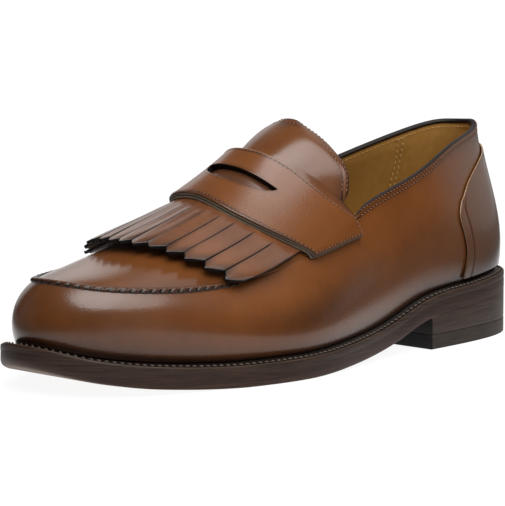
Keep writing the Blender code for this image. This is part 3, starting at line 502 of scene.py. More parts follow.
# edge of stacked or doubled leather: stripes by the height within the edge, from the tone "layer"
def layeredEdge(name, stops, roughness, coat=0.0, streak=1300.0, streakDepth=0.5):
    material, tree, shader = newMaterial(name)
    coord = addNode(tree, "TexCoord")
    layer = addNode(tree, "Attribute", attribute_name="layer")
    place = addNode(tree, "Mapping", {"Scale": (0.04, 0.04, 1.0)}, {"Vector": (coord, "Object")})
    fibre = addNode(tree, "TexNoise", {"Scale": streak, "Detail": 3.0, "Roughness": 0.65}, {"Vector": place})
    wander = addNode(tree, "Math", {1: 0.10, 2: -0.05}, {0: fibre}, operation="MULTIPLY_ADD")
    height = addNode(tree, "Math", None, {0: (layer, "Fac"), 1: wander}, operation="ADD", use_clamp=True)
    ramp = addNode(tree, "ValToRGB", None, {"Fac": height})
    setStops(ramp, [(at, linear(colour)) for at, colour in stops])
    streaks = addNode(tree, "MapRange", {"From Min": 0.3, "From Max": 0.7, "To Min": 1 - streakDepth,
                                         "To Max": 1 + streakDepth}, {"Value": fibre})
    tint = addNode(tree, "VectorMath", None, {0: ramp, 1: streaks}, operation="MULTIPLY")
    bump = addNode(tree, "Bump", {"Strength": 0.25, "Distance": 0.0003}, {"Height": fibre})
    setInputs(tree, shader, {"Roughness": roughness, "Specular IOR Level": 0.18, "Coat Weight": coat,
                             "Coat Roughness": 0.25}, {"Base Color": tint, "Normal": bump})
    return material


calfTones = dict(body="#633818", warm="#6c3e1b", dark="#24130a", roughness=0.24, coat=0.33,
                 coatRoughness=0.07, grain=0.12)
upperCalf = burnishedCalf("burnishedCalf", dict(calfTones, channels=(1.25, 3.5), wrinkleWay=(1.0, 1.0, 0.1)))
apronCalf = burnishedCalf("apronCalf", dict(calfTones, channels=(1.25, 3.5)))
strapCalf = burnishedCalf("strapCalf", dict(calfTones, channels=(1.5,), channelDepth=0.7))
kiltieCalf = burnishedCalf("kiltieCalf", dict(
    calfTones, body="#5e371f", warm="#6c4226", dark="#170d08", roughness=0.28, coat=0.3))
stayCalf = burnishedCalf("stayCalf", dict(calfTones, body="#5a351c", warm="#623c20", channels=(6.2,)))
seamCalf = layeredEdge("seamRidgeCalf", [
    (0.0, "#0b0604"), (0.35, "#21130b"), (0.75, "#432817"), (1.0, "#5c3d2b")], 0.34, 0.25, 1400.0, 0.25)
edgeInk = toned("blackEdgeInk", "#050302", "#110b08", 1200.0, 0.6, specular=0.2)
fleshSide = toned("greyFleshSide", "#99928b", "#b8b1a9", 900.0, 0.85, bumpDepth=0.0003, sheen=0.2)
# two plies of cut leather with inked lines under, between and above them
strapEdge = layeredEdge("doubledStrapEdge", [
    (0.0, "#050302"), (0.10, "#695c4d"), (0.34, "#695c4d"), (0.40, "#0a0605"), (0.52, "#0a0605"),
    (0.58, "#5f5243"), (0.80, "#5f5243"), (0.87, "#0f0906"), (0.94, "#0f0906"), (1.0, "#6b4f3a")],
    0.6, streakDepth=0.25)
bindingCalf = toned("darkBindingCalf", "#100a07", "#1d140e", 900.0, 0.55, specular=0.25)
# its shade colour is painted shade; the strip along the top where it is left out is a painted highlight
liningCalf = toned("ochreLiningCalf", "#a07336", "#aa7d42", 260.0, 0.55, bumpDepth=0.00012, bumpStrength=0.25,
                   specular=0.15, shade="#4c2f08")
sockCalf = toned("tanSockCalf", "#a87a45", "#b98b57", 200.0, 0.52, bumpDepth=0.00012)
palePiping = layeredEdge("paleRawEdge", [
    (0.0, "#150c07"), (0.35, "#2a1a10"), (0.50, "#7d6046"), (1.0, "#cdb08c")], 0.5, 0.0, 700.0, 0.2)
topThread = toned("brownThread", "#64402a", "#86604a", 1600.0, 0.6, specular=0.3)
darkThread = toned("darkThread", "#1c0f09", "#38221a", 1600.0, 0.6, specular=0.25)
liningThread = toned("tanThread", "#a37c45", "#bd9660", 1600.0, 0.6, specular=0.3)
weltThread = toned("waxedWeltThread", "#2a201a", "#4a3c33", 1400.0, 0.5, specular=0.35)
weltCalf = toned("waxedWelt", "#0b0705", "#170e09", 500.0, 0.5, specular=0.2)
# its first stop is a pale line along the bottom edge ahead of the heel: a painted highlight
soleEdgeCalf = layeredEdge("waxedSoleEdge", [
    (0.0, "#6a5238"), (0.03, "#36231a"), (0.30, "#30201a"), (0.62, "#291c16"), (1.0, "#2b1e17")], 0.46)
weltEdgeCalf = layeredEdge("waxedWeltEdge", [
    (0.0, "#231812"), (0.12, "#2a1e18"), (0.80, "#30231b"), (1.0, "#3a2c21")], 0.46)
# the first stops of heel and top lift paint the breast black, as painted shade
heelCalf = layeredEdge("stackedHeelLeather", [
    (0.0, "#0b0807"), (0.06, "#0b0807"), (0.10, "#2d221c"), (0.16, "#32261f"), (0.5, "#30251e"),
    (0.95, "#32261f"), (1.0, "#2a1f19")], 0.48)
liftRubber = layeredEdge("topLiftRubber", [
    (0.0, "#0b0807"), (0.06, "#0b0807"), (0.10, "#1f1915"), (0.16, "#2b231d"), (0.92, "#2d251f"),
    (1.0, "#221b17")], 0.55)
treadCalf = toned("leatherTread", "#4a3323", "#6a4c36", 120.0, 0.55)
print("materials made")

# Upper: quarters and vamp wall
wallSkin = dict(
    columns=480, rises=52, leather=0.9, bindingAbove=2.1, bindingReach=0.02,
    creases=[(0.575, 0.05), (0.605, 0.08), (0.64, 0.06)],  # girth, depth
    creaseWidth=0.011, creaseRise=(0.80, 0.16), creaseLean=0.05, leanFrom=0.6,
    flex=(0.9, 0.62, 0.07, 0.78, 0.2),  # fine wrinkles: amount, girth and its width, rise and its width
    # footDark is partly painted shade at the foot, flankDark partly painted shade on the flank
    footDark=[(0.95, 0.08), (0.22, 0.30)],  # amount, rise over which it fades
    toeDark=[(0.38, 0.64, 0.26), (0.08, 0.90, 0.10)],  # amount, girth where it starts, its span
    flankDark=[(0.60, 0.56, 0.13, 0.38, 0.22), (0.28, 0.28, 0.16, 0.38, 0.28)],  # as for flex
    heelDark=(0.50, 0.26, -0.24), rimDark=(0.22, 0.88, 0.12), rimBare=(0.56, 0.10))


# burnish and painted shade of the wall: darker up from the foot, partly painted shade where the upper meets
# the welt; steps in at toe, heel and rim; bells on the flank, partly patina and partly painted shade
def wallBurnishAndShade(girth, rise):
    g = awayFromHeel(girth)
    dark = sum(amount * np.exp(-rise / fade) for amount, fade in wallSkin["footDark"])
    dark = dark + sum(ramped(g, *row) for row in wallSkin["toeDark"])
    dark = dark + sum(patch(g, rise, *row) for row in wallSkin["flankDark"])
    bareAt, bareSpan = wallSkin["rimBare"]
    rim = ramped(rise, *wallSkin["rimDark"]) * smoothStep(np.abs(g - bareAt) / bareSpan)
    return np.clip(dark + ramped(g, *wallSkin["heelDark"]) + rim, 0, 1)


# soft troughs across the wall where the foot bends: bells round listed girths, fading in rise
def wallRelief(girth, rise):
    g = awayFromHeel(girth) - wallSkin["creaseLean"] * (rise - wallSkin["leanFrom"])
    return sum(-depth * bell(g, middle, wallSkin["creaseWidth"]) * bell(rise, *wallSkin["creaseRise"])
               for middle, depth in wallSkin["creases"])


girth, rise = gridOf(np.linspace(0, 2, wallSkin["columns"], endpoint=False),
                     np.linspace(0, 1, wallSkin["rises"] + 1))
wallGrid = wallOffset(girth, rise, wallRelief(girth, rise))
depthBelow = wayAlong(wallGrid[:, ::-1], 1)[:, ::-1]
fromHeel = awayFromHeel(girth)
nearHeel = fromHeel < last["throat"] + wallSkin["bindingReach"]
wallTone = dict(burnish=wallBurnishAndShade(girth, rise),
                edge=np.where(nearHeel, depthBelow + wallSkin["bindingAbove"], farFromEdge),
                crease=patch(fromHeel, rise, *wallSkin["flex"]))
addPiece("vampWall", [sheet(wallGrid, wallTone, closeRows=True)], [upperCalf], ["upper"],
         wall=wallSkin["leather"])
print("wall made")

# Apron, instep and tongue in one hide
apronSkin = dict(
    rows=150, tongueRows=46, columns=110, leather=0.9, bindingAbove=2.0,
    sideDark=(0.22, 0.80, 0.2), sideStart=(1, 0.62, 0.06), toeDark=(0.10, 0.86, 0.12), base=0.2,
    strapFade=(1, 0.5, 0.5), strapEnd=(1, 0.72, -0.06), tongueBase=0.22, tongueDark=(0.40, 9.0))


# burnish of the apron: a base that fades beside the strap, more at the seam and at the toe
def apronBurnish(girth, across):
    reach = np.abs(across)
    side = ramped(reach, *apronSkin["sideDark"]) * ramped(girth, *apronSkin["sideStart"])
    fade = ramped(reach, *apronSkin["strapFade"]) * ramped(girth, *apronSkin["strapEnd"])
    return np.clip(apronSkin["base"] * (1 - fade) + side + ramped(girth, *apronSkin["toeDark"]), 0, 1)


rowGirth, across = gridOf(np.linspace(1.0, last["throat"], apronSkin["rows"] + 1),
                          np.linspace(-1, 1, apronSkin["columns"] + 1))
apronGrid = vampPoint(rowGirth, across)
tongueGrid = tonguePoint(np.linspace(0, 1, apronSkin["tongueRows"])[:, None], across[:1])
tongueEdge = np.minimum(fromSides(tongueGrid), fromTop(tongueGrid))
apronTone = dict(
    burnish=np.concatenate([apronBurnish(rowGirth, across),
                            apronSkin["tongueBase"] + fading(tongueEdge, *apronSkin["tongueDark"])]),
    edge=np.concatenate([np.full(rowGirth.shape, farFromEdge), tongueEdge + apronSkin["bindingAbove"]]))
addPiece("apronTongue", [sheet(np.concatenate([apronGrid, tongueGrid]), apronTone)], [apronCalf],
         ["upper"], wall=apronSkin["leather"], merge=True)
print("apron and tongue made")

# Raised hand-sewn seam round the apron
seamRidge = dict(
    endGirth=0.668, fade=0.06, lowShare=0.5, spread=1.7, apronShare=0.8, height=1.45, pitch=4.4, lump=0.34,
    slant=0.9, steps=1200, around=17, beside=0.9, aheadStation=263.0, tip=(1, 0.93, 0.05),
    notch=(1, 1.9, -0.9), crown=0.8, tone=(0.62, 0.38, 1.75, 0.35), grooveTone=0.75,
    apronTone=(0.9, 2.2, 0.6),
    bar=(0.25, 1.9, 9), barLift=0.12, barLean=0.6, barShare=0.9, barGap=0.1, barRadius=0.22)
seamHalf = np.linspace(seamRidge["endGirth"], 1.0, seamRidge["steps"] // 2)
seamGirth = np.concatenate([seamHalf, 2 - seamHalf[-2::-1]])
seamPath = wallPoint(seamGirth, 1.0)
seamDown = unit(wallPoint(seamGirth, belowTop) - seamPath)
seamAlong = unit(np.gradient(seamPath, axis=0))
seamOuter = 1 - np.abs(seamGirth - 1)
seamBeside = vampPoint(seamOuter, np.where(seamGirth <= 1, 1.0, -1.0) * seamRidge["beside"])
seamAhead = crestPoint(np.full_like(seamGirth, seamRidge["aheadStation"]))
seamTip = ramped(seamOuter, *seamRidge["tip"])[:, None]
seamIn = unit(unit(seamBeside - seamPath) * (1 - seamTip) + unit(seamAhead - seamPath) * seamTip)
seamIn = unit(seamIn - seamAlong * (seamIn * seamAlong).sum(-1, keepdims=True))
seamLean = unit(-(seamDown + seamIn))
seamSteps = wayAlong(seamPath)


# ridge: half ellipse over the seam line, its height and width swelling between the stitches
def ridgePoint(order, turn, grow=0.0):
    middle, down, inward, lean = (readAlong(order, seamSteps, values)
                                  for values in (seamPath, seamDown, seamIn, seamLean))
    fade = smoothStep((np.interp(order, seamSteps, seamOuter) - seamRidge["endGirth"]) / seamRidge["fade"])
    tall = seamRidge["height"] * (seamRidge["lowShare"] + (1 - seamRidge["lowShare"]) * fade)
    wave = np.cos(2 * np.pi * (order / seamRidge["pitch"] + seamRidge["slant"] * (turn / np.pi - 0.5)))
    notch = (0.5 + 0.5 * wave) ** 3 * ramped(turn, *seamRidge["notch"])
    swell = 1 - seamRidge["lump"] * notch
    wallFoot = down * seamRidge["spread"]
    apronFoot = inward * seamRidge["spread"] * seamRidge["apronShare"]
    sideways = (apronFoot - wallFoot) / 2 * (0.9 + 0.1 * swell)[..., None]
    lift = (tall * swell + grow)[..., None] * lean * np.sin(turn)[..., None] ** seamRidge["crown"]
    return middle + (wallFoot + apronFoot) / 2 - sideways * np.cos(turn)[..., None] + lift, notch


order, turn = gridOf(np.linspace(0, seamSteps[-1], seamRidge["steps"]),
                     np.linspace(0, np.pi, seamRidge["around"]))
ridgeGrid, groove = ridgePoint(order, turn)
# the ridge is lighter along its crest, a painted highlight, darker in the notches between the stitches,
# painted shade, and darker towards the apron side
base, amount, place, wide = seamRidge["tone"]
ridgeTone = np.clip(base + amount * bell(turn, place, wide) - seamRidge["grooveTone"] * groove
                    - ramped(turn, *seamRidge["apronTone"]), 0.0, 1)
seamSheets = [sheet(ridgeGrid, dict(layer=ridgeTone))]
knot = (np.arange(int(seamSteps[-1] / seamRidge["pitch"]))[:, None] + 0.5) * seamRidge["pitch"]
over = np.linspace(*seamRidge["bar"])[None, :]
bar = knot - seamRidge["pitch"] * seamRidge["slant"] * (over / np.pi - 0.5)
for path in ridgePoint(*np.broadcast_arrays(bar, over), grow=seamRidge["barLift"])[0]:
    seamSheets += stitchSheets(path, unit(path - path.mean(axis=0) + up * seamRidge["barLean"]),
                               wayAlong(path)[-1] * seamRidge["barShare"], seamRidge["barGap"],
                               seamRidge["barRadius"], material=1)
addPiece("apronSeamRidge", seamSheets, [seamCalf, darkThread], ["apron_seam"], merge=True)
print("apron seam made")

# Kiltie: a band under the strap and pointed strips
kiltie = dict(
    bounds=[-1.03, -0.875, -0.715, -0.55, -0.385, -0.22, -0.06, 0.10, 0.287, 0.472, 0.625, 0.79, 0.93, 1.07],
    slit=0.10, slitStart=0.22, slitSpan=0.12, point=6.5, thickness=1.5, lift=4.2, rootGirth=0.462,
    bandGirth=0.527, bandEnd=0.545, bandSpan=0.9, bandShade=0.45, bandSink=0.05, halfSpan=1.03, rootSpan=0.93,
    spreadPower=1.5, innerDrop=0.75, outerDrop=0.35, hidden=0.17, bridge=1.7, outerBridge=0.8, seamRise=2.2,
    bandRows=40, bandColumns=90, outerPower=4, seamPower=8,
    seamStart=0.2, seamClear=0.5, round=0.14, crown=0.16, rows=64, lastRow=0.97,
    tipRows=(0.978, 0.985, 0.991, 0.996, 1.0), sideCols=(0.9, 0.955, 0.985, 1.0), middleCols=(-0.8, 0.8, 9),
    halfBreadth=38.0, length=55.0, sideInk=0.32, sideInkDark=0.8, tipInk=1.0, sideWorn=(0.22, 2.0),
    tipWorn=(0.55, 12.0), tipWornFrom=(1, -0.6, 1.2), middleDark=(0.10, 0.05, 0.35), wrinkles=(1, 0.62, -0.4),
    front=[(-1.0, 0.735), (-0.5, 0.747), (0.0, 0.740), (0.5, 0.711), (1.0, 0.677)],  # across, girth
    flare=[0.6, 0.9, 1.0, 0.8, 0.6, 0.3, 0.3, 0.0, 0.2, 0.05, 0.2, 0.0, 0.1])  # lift of each strip's tip
leatherGap = 0.4


# how far the fringe has come out from under the strap
def outOfStrap(share):
    return np.clip((share - kiltie["hidden"]) / (1 - kiltie["hidden"]), 0, 1)


# lift: a straight rise and a bridge over the free part, less at the sides but clear of the seam
def kiltieLift(share, wide):
    free = outOfStrap(share)
    outer = np.clip(wide, 0, 1) ** kiltie["outerPower"]
    bridge = 4 * kiltie["bridge"] * (1 + kiltie["outerBridge"] * outer) * free * (1 - free)
    drop = np.where(wide < 0, kiltie["innerDrop"], kiltie["outerDrop"])
    middle = (kiltie["lift"] * free + bridge) * (1 - drop * wide**2)
    clear = smoothStep((share - kiltie["seamStart"]) / kiltie["seamClear"])
    atSeam = (kiltie["seamRise"] + leatherGap) * clear * np.abs(wide) ** kiltie["seamPower"]
    return leatherGap + np.maximum(middle, atSeam)


# rounded shoulder of a cut edge: how far the top falls at a distance from the edge
def edgeFall(distance, radius):
    return radius - np.sqrt(np.clip(radius**2 - (radius - np.minimum(distance, radius)) ** 2, 0, None))


# closed strip between its low face and its crowned top, its border a cut edge
def stripSheets(place, thickness, fall, tones, materials=(0, 1, 2), borderRows=5):
    low = place(np.zeros_like(fall))
    high = place(thickness - fall)
    rim = lambda g: np.concatenate([g[0, :-1], g[:-1, -1], g[-1, :0:-1], g[:0:-1, 0]])
    layer = np.linspace(0, 1, borderRows)[:, None]
    border = rim(low)[None] * (1 - layer[..., None]) + rim(high)[None] * layer[..., None]
    return [sheet(high, tones, materials[0], flip=True),
            sheet(border, dict(layer=layer), materials[1], closeCols=True, flip=True),
            sheet(low, None, materials[2])]


frontTable = np.array(kiltie["front"])
share = np.r_[np.linspace(0, kiltie["lastRow"], kiltie["rows"]), kiltie["tipRows"]][:, None]
sideCols = np.array(kiltie["sideCols"])
q = np.r_[-sideCols[::-1], np.linspace(*kiltie["middleCols"]), sideCols][None, :]
parted = smoothStep((share - kiltie["slitStart"]) / kiltie["slitSpan"])
toTip = (1 - share) * kiltie["length"] + 0 * q
widened = outOfStrap(share) ** kiltie["spreadPower"]
spread = kiltie["rootSpan"] + (kiltie["halfSpan"] - kiltie["rootSpan"]) * widened
kiltieSheets = []
for strip, flare in enumerate(kiltie["flare"]):
    left, right = kiltie["bounds"][strip:strip + 2]
    half = (right - left) / 2 - kiltie["slit"] / (2 * kiltie["halfBreadth"]) * parted
    place = (left + right) / 2 + half * q
    front = splineThrough(frontTable[:, 0], frontTable[:, 1], place)
    reach = front - kiltie["bandGirth"] + kiltie["point"] / last["sideLength"] * (1 - np.abs(q))
    gNow = kiltie["bandGirth"] + reach * share
    wide = place * spread / kiltie["halfSpan"]
    base = kiltieLift(share, wide) + flare * smoothStep(share) ** 2 + kiltie["crown"] * (1 - q**2) * parted
    away = (1 - np.abs(q)) * half * kiltie["halfBreadth"]
    outermost = (strip == 0) * (q < 0) + (strip == len(kiltie["flare"]) - 1) * (q > 0)
    fall = np.maximum(edgeFall(away, kiltie["round"]) * np.maximum(parted, outermost),
                      edgeFall(toTip, kiltie["round"]))
    body = lambda lift: vampOffset(*np.broadcast_arrays(gNow, wide), base + lift)
    inked = (smoothStep(1 - away / kiltie["sideInk"]) * np.maximum(kiltie["sideInkDark"] * parted, outermost)
             + smoothStep(1 - toTip / kiltie["tipInk"]))
    worn = fading(away, *kiltie["sideWorn"]) * parted
    worn = worn + fading(toTip, *kiltie["tipWorn"]) * ramped(place, *kiltie["tipWornFrom"])
    amount, middle, width = kiltie["middleDark"]
    worn = worn + amount * bell(place, middle, width)
    tone = dict(burnish=np.clip(inked + worn, 0, 1), crease=ramped(share, *kiltie["wrinkles"]) + 0 * q)
    kiltieSheets += stripSheets(body, kiltie["thickness"], fall, tone)
bandGirth, bandWide = gridOf(np.linspace(kiltie["rootGirth"], kiltie["bandEnd"], kiltie["bandRows"]),
                             np.linspace(-kiltie["bandSpan"], kiltie["bandSpan"], kiltie["bandColumns"]))
bandFall = np.zeros_like(bandGirth)
# the band seen in the half-moon is darkened as painted shade under the strap
kiltieSheets += stripSheets(
    lambda lift: vampOffset(bandGirth, bandWide, leatherGap + lift - kiltie["bandSink"]), kiltie["thickness"],
    bandFall, dict(burnish=bandFall + kiltie["bandShade"]))
addPiece("kiltieFringe", kiltieSheets, [kiltieCalf, edgeInk, fleshSide], ["kiltie"])
print("kiltie made")

# Saddle strap with its half-moon opening
strap = dict(
    rows=[  # along, girth of the top edge, girth of the front edge
        (-1.0, 0.456, 0.546), (-0.8, 0.463, 0.557), (-0.5, 0.446, 0.564), (0.0, 0.437, 0.558),
        (0.5, 0.445, 0.563), (0.8, 0.458, 0.552), (1.0, 0.449, 0.538)],
    thickness=2.6, topReach=1.19, frontReach=1.05, land=(1.06, 0.09), softLand=(1.30, 0.45), round=0.4,
    moonRound=0.24, moonSpan=0.40, moonCentre=0.115, moonFlat=0.37, moonDepth=0.24, around=560,
    runs=(0.0, 0.42, 0.5, 0.92, 1.0),  # ends of the loop's four runs: top, outer end, front, inner end
    moonTurns=(0.05, 0.95, 1.05, 1.95, 2.05),  # half turns round the half-moon at the same ends
    nearEdge=(0, 0.05, 0.15, 0.32, 0.52, 0.75), rings=34, edgeRows=7, footFlare=(0.014, 0.035),
    outDark=(0.45, 4.0), moonDark=(0.4, 2.5), rimHighlight=(0.6, 0.85, -0.3),
    stitchInset=1.5, stitchLength=1.5, stitchGap=0.65, stitchRadius=0.23, stitchSink=0.08)
strapTable = np.array(strap["rows"])


# strap: top and front edge by splines, straight between, lifted over the kiltie where that lies under it
def strapSurface(along, over, lift, land=strap["land"]):
    top, front = (splineThrough(strapTable[:, 0], strapTable[:, k], along) for k in (1, 2))
    wide = along * (strap["topReach"] + (strap["frontReach"] - strap["topReach"]) * over)
    bed = leatherGap + (leatherGap + kiltie["thickness"]) * smoothStep((land[0] - np.abs(wide)) / land[1])
    return vampOffset(top + (front - top) * over, wide, bed + lift)


# outline of the strap and of its half-moon as matching loops, four runs each
def strapLoops(count):
    t = np.arange(count) / count
    alongOut = np.interp(t, strap["runs"], [-1, 1, 1, -1, -1])
    overOut = np.interp(t, strap["runs"], [0, 0, 1, 1, 0])
    phase = np.interp(t, strap["runs"], np.pi * np.array(strap["moonTurns"]))
    alongIn = strap["moonCentre"] - strap["moonSpan"] * np.cos(phase)
    overIn = strap["moonFlat"] + strap["moonDepth"] * np.clip(-np.sin(phase), 0, None)
    return alongOut, overOut, alongIn, overIn


alongOut, overOut, alongIn, overIn = strapLoops(strap["around"])


def strapRing(share):
    return alongIn + (alongOut - alongIn) * share, overIn + (overOut - overIn) * share


ringLength = np.linalg.norm(strapSurface(alongOut, overOut, 0.0) - strapSurface(alongIn, overIn, 0.0),
                            axis=-1)
nearEdge = np.array(strap["nearEdge"])[:, None]
inner, outer = nearEdge / ringLength, 1 - nearEdge[::-1] / ringLength
between = inner[-1] + (outer[0] - inner[-1]) * np.linspace(0, 1, strap["rings"])[1:-1, None]
ringShare = np.concatenate([inner, between, outer])
ringAlong, ringOver = strapRing(ringShare)
outEdge, moonEdge = (1 - ringShare) * ringLength, ringShare * ringLength
ringFall = edgeFall(moonEdge, strap["moonRound"]) + edgeFall(outEdge, strap["round"])
strapTop = strapSurface(ringAlong, ringOver, strap["thickness"] - ringFall, strap["softLand"])
strapLow = strapSurface(ringAlong, ringOver, 0.0)
onTopRun = np.arange(strap["around"]) < strap["runs"][1] * strap["around"]
# pale is a painted highlight near the outer edge along the strap's top run
strapTone = dict(
    burnish=np.clip(fading(outEdge, *strap["outDark"]) + fading(moonEdge, *strap["moonDark"]), 0, 1),
    edge=outEdge, pale=ramped(outEdge, *strap["rimHighlight"]) * onTopRun)
edgeTone = np.linspace(0, 1, strap["edgeRows"])[:, None]
alongFlare, overFlare = strap["footFlare"]
strapFoot = strapSurface(alongOut * (1 + alongFlare), overOut + overFlare * (overOut > 0.99), 0.0)
outWall, inWall = (foot * (1 - edgeTone[..., None]) + top * edgeTone[..., None]
                   for foot, top in ((strapFoot, strapTop[-1]), (strapLow[0], strapTop[0])))
addPiece("saddleStrap", [
    sheet(strapTop, strapTone, 0, closeCols=True), sheet(strapLow, None, 3, closeCols=True, flip=True),
    sheet(outWall, dict(layer=edgeTone), 1, closeCols=True, flip=True),
    sheet(inWall, dict(layer=edgeTone), 2, closeCols=True),
], [strapCalf, strapEdge, edgeInk, fleshSide], ["saddle_strap"])

rowAlong, rowOver = strapRing(1 - strap["stitchInset"] / ringLength)
rowPath, rowUnder = (strapSurface(rowAlong, rowOver, strap["thickness"] - depth, strap["softLand"])
                     for depth in (0.0, 1.0))
rowNormal = unit(rowPath - rowUnder)
addPiece("strapStitches", stitchSheets(
    np.r_[rowPath, rowPath[:1]], np.r_[rowNormal, rowNormal[:1]], strap["stitchLength"], strap["stitchGap"],
    strap["stitchRadius"], lift=-strap["stitchSink"]), [topThread], merge=True)
print("strap made")

# Back stay with S-shaped front edges
stay = dict(
    edge=[(0.03, 0.196), (0.20, 0.193), (0.36, 0.202), (0.525, 0.211), (0.62, 0.203)],  # rise, reach
    top=[  # reach, rise
        (0.0, 0.875), (0.04, 0.868), (0.085, 0.848), (0.149, 0.79), (0.185, 0.695), (0.205, 0.60)],
    foot=0.03, lift=0.4, thickness=1.0, columns=320, rows=90, sideCrowd=1.5, topCrowd=1.3, round=0.35,
    groove=6.2, grooveDepth=0.35, grooveWidth=0.5, grooveEnd=(1, 0.68, -0.12), burnish=0.9,
    channelEnd=(20.0, 0.56, 0.12), pipingLow=0.52, pipingHeight=(1, 46.0, 16.0))


# patch of the wall: q runs from side to side within the S-shaped edges, c from foot to curved top
def stayPlace(q, c):
    top = hermite(stay["top"], np.abs(q) * stay["top"][-1][0])
    rise = stay["foot"] + (top - stay["foot"]) * c
    return q * hermite(stay["edge"], np.clip(rise, stay["edge"][0][0], stay["edge"][-1][0])), rise


bend = np.linspace(-1, 1, stay["columns"] + 1)
q, c = np.meshgrid(np.sign(bend) * (1 - (1 - np.abs(bend)) ** stay["sideCrowd"]),
                   1 - (1 - np.linspace(0, 1, stay["rows"] + 1)) ** stay["topCrowd"], indexing="xy")
stayGirth, stayRise = stayPlace(q, c)
stayGrid = wallPoint(stayGirth, stayRise)
fromEnd = fromSides(stayGrid)
stayFall = edgeFall(np.minimum(fromEnd, fromTop(stayGrid)), stay["round"]) + stay["grooveDepth"] * bell(
    fromEnd, stay["groove"], stay["grooveWidth"]) * ramped(stayRise, *stay["grooveEnd"])
# the stay takes the wall's burnish and painted shade, a little weaker
stayTone = dict(burnish=np.clip(wallBurnishAndShade(stayGirth, stayRise) * stay["burnish"], 0, 1),
                edge=fromEnd + ramped(stayRise, *stay["channelEnd"]))
staySheets = stripSheets(lambda lift: wallOffset(stayGirth, stayRise, stay["lift"] + lift), stay["thickness"],
                         stayFall, stayTone, (0, 1, 1))
paler = ramped(staySheets[1]["points"][:, 2], *stay["pipingHeight"])
staySheets[1]["tones"]["layer"] = staySheets[1]["tones"]["layer"] * (
    stay["pipingLow"] + (1 - stay["pipingLow"]) * paler)
addPiece("backStay", staySheets, [stayCalf, palePiping], ["back_stay"])
print("back stay made")


# profile carried along a path: each profile point is out and up amounts in the path's own frame
def carried(path, outward, upward, profile):
    profile = np.asarray(profile, float)
    return path[:, None] + outward[:, None] * profile[None, :, :1] + upward[:, None] * profile[None, :, 1:]


binding = dict(
    face=[(-0.03, -1.3), (0.05, -0.7), (0.08, 0.4), (0.06, 1.1), (0.0, 1.45)],  # folded face: out, up
    fold=[(0.0, 1.45), (-0.12, 1.82), (-0.45, 2.05), (-1.0, 2.15), (-1.8, 2.05), (-2.4, 1.75), (-2.66, 1.3),
          (-2.7, 0.85), (-2.6, 0.5), (-2.1, 0.5), (-1.9, 0.6), (-0.2, 0.4), (-0.03, -1.3)],  # turned-in part
    top=2.1, rows=(1.25, 3.5), taper=0.05, endSize=0.12, tone=0.25, rimTone=(1.0, -0.6), runOn=0.012,
    collarSteps=520, tongueTall=0.95, tongueGrid=(120, 121), tongueSteps=320, blur=19, corner=(1, 0.8, 0.2),
    cornerIn=0.12, outRise=0.98)


def bindingSheets(path, outward, upward, tall, flip):
    made = []
    end = np.linspace(0, 1, len(path))
    grow = smoothStep(np.minimum(end, 1 - end) / binding["taper"])[:, None]
    size = binding["endSize"] + (1 - binding["endSize"]) * grow
    for material, part in enumerate((binding["face"], binding["fold"])):
        profile = np.array(part) * [1, tall]
        below = (binding["top"] * tall - profile[:, 1])[None]
        dark = binding["tone"] + ramped(below, 1 - binding["tone"], *binding["rimTone"])
        tones = dict(edge=below, burnish=dark)
        made.append(sheet(carried(path, outward * size, upward * size, profile), tones, material, flip=flip))
    return made


bindReach = last["throat"] + binding["runOn"]
bindGirth = np.linspace(-bindReach, bindReach, binding["collarSteps"])
bindPath = wallPoint(bindGirth, 1.0)
bindUp = unit(bindPath - wallPoint(bindGirth, belowTop))
addPiece("collarBinding", bindingSheets(bindPath, wallOut(bindGirth, binding["outRise"]), bindUp, 1.0, False),
         [upperCalf, bindingCalf], ["collar_binding"])

climb, across = gridOf(*(np.linspace(a, 1, n) for a, n in zip((0, -1), binding["tongueGrid"])))
atCorner = ramped(climb, *binding["corner"]) * ramped(np.abs(across), *binding["corner"])
inwards = binding["cornerIn"] * atCorner  # the normal of a corner is read a little inside it
tongueFine = tonguePoint(climb, across)
tongueSquare = -normalOf(tonguePoint, climb - inwards, across * (1 - inwards), probe["tongue"])


def aroundTongue(g):
    return np.concatenate([g[:, 0], g[-1, 1:-1], g[::-1, -1]])


# directions along the rim, blurred with a bell so that the binding turns softly
def soften(v):
    window = np.hanning(binding["blur"])
    pad = binding["blur"] // 2
    padded = np.pad(v, ((pad, pad), (0, 0)), mode="edge")
    blurred = [np.convolve(column, window / window.sum(), "valid") for column in padded.T]
    return unit(np.stack(blurred, axis=1))


tongueRim = aroundTongue(tongueFine)
rimSteps = wayAlong(tongueRim)
evenly = np.linspace(0, rimSteps[-1], binding["tongueSteps"])
tongueOut = soften(unit(readAlong(evenly, rimSteps, aroundTongue(tongueSquare))))
tongueRim = readAlong(evenly, rimSteps, tongueRim)
tongueUp = unit(np.cross(unit(np.gradient(tongueRim, axis=0)), tongueOut))
outOfTongue = tongueRim - tongueFine[0].mean(axis=0)
tongueUp = soften(tongueUp * np.sign((tongueUp * outOfTongue).sum(-1, keepdims=True)))
addPiece("tongueBinding", bindingSheets(tongueRim, tongueOut, tongueUp, binding["tongueTall"], True),
         [apronCalf, bindingCalf], ["tongue_binding"])
print("bindings made")

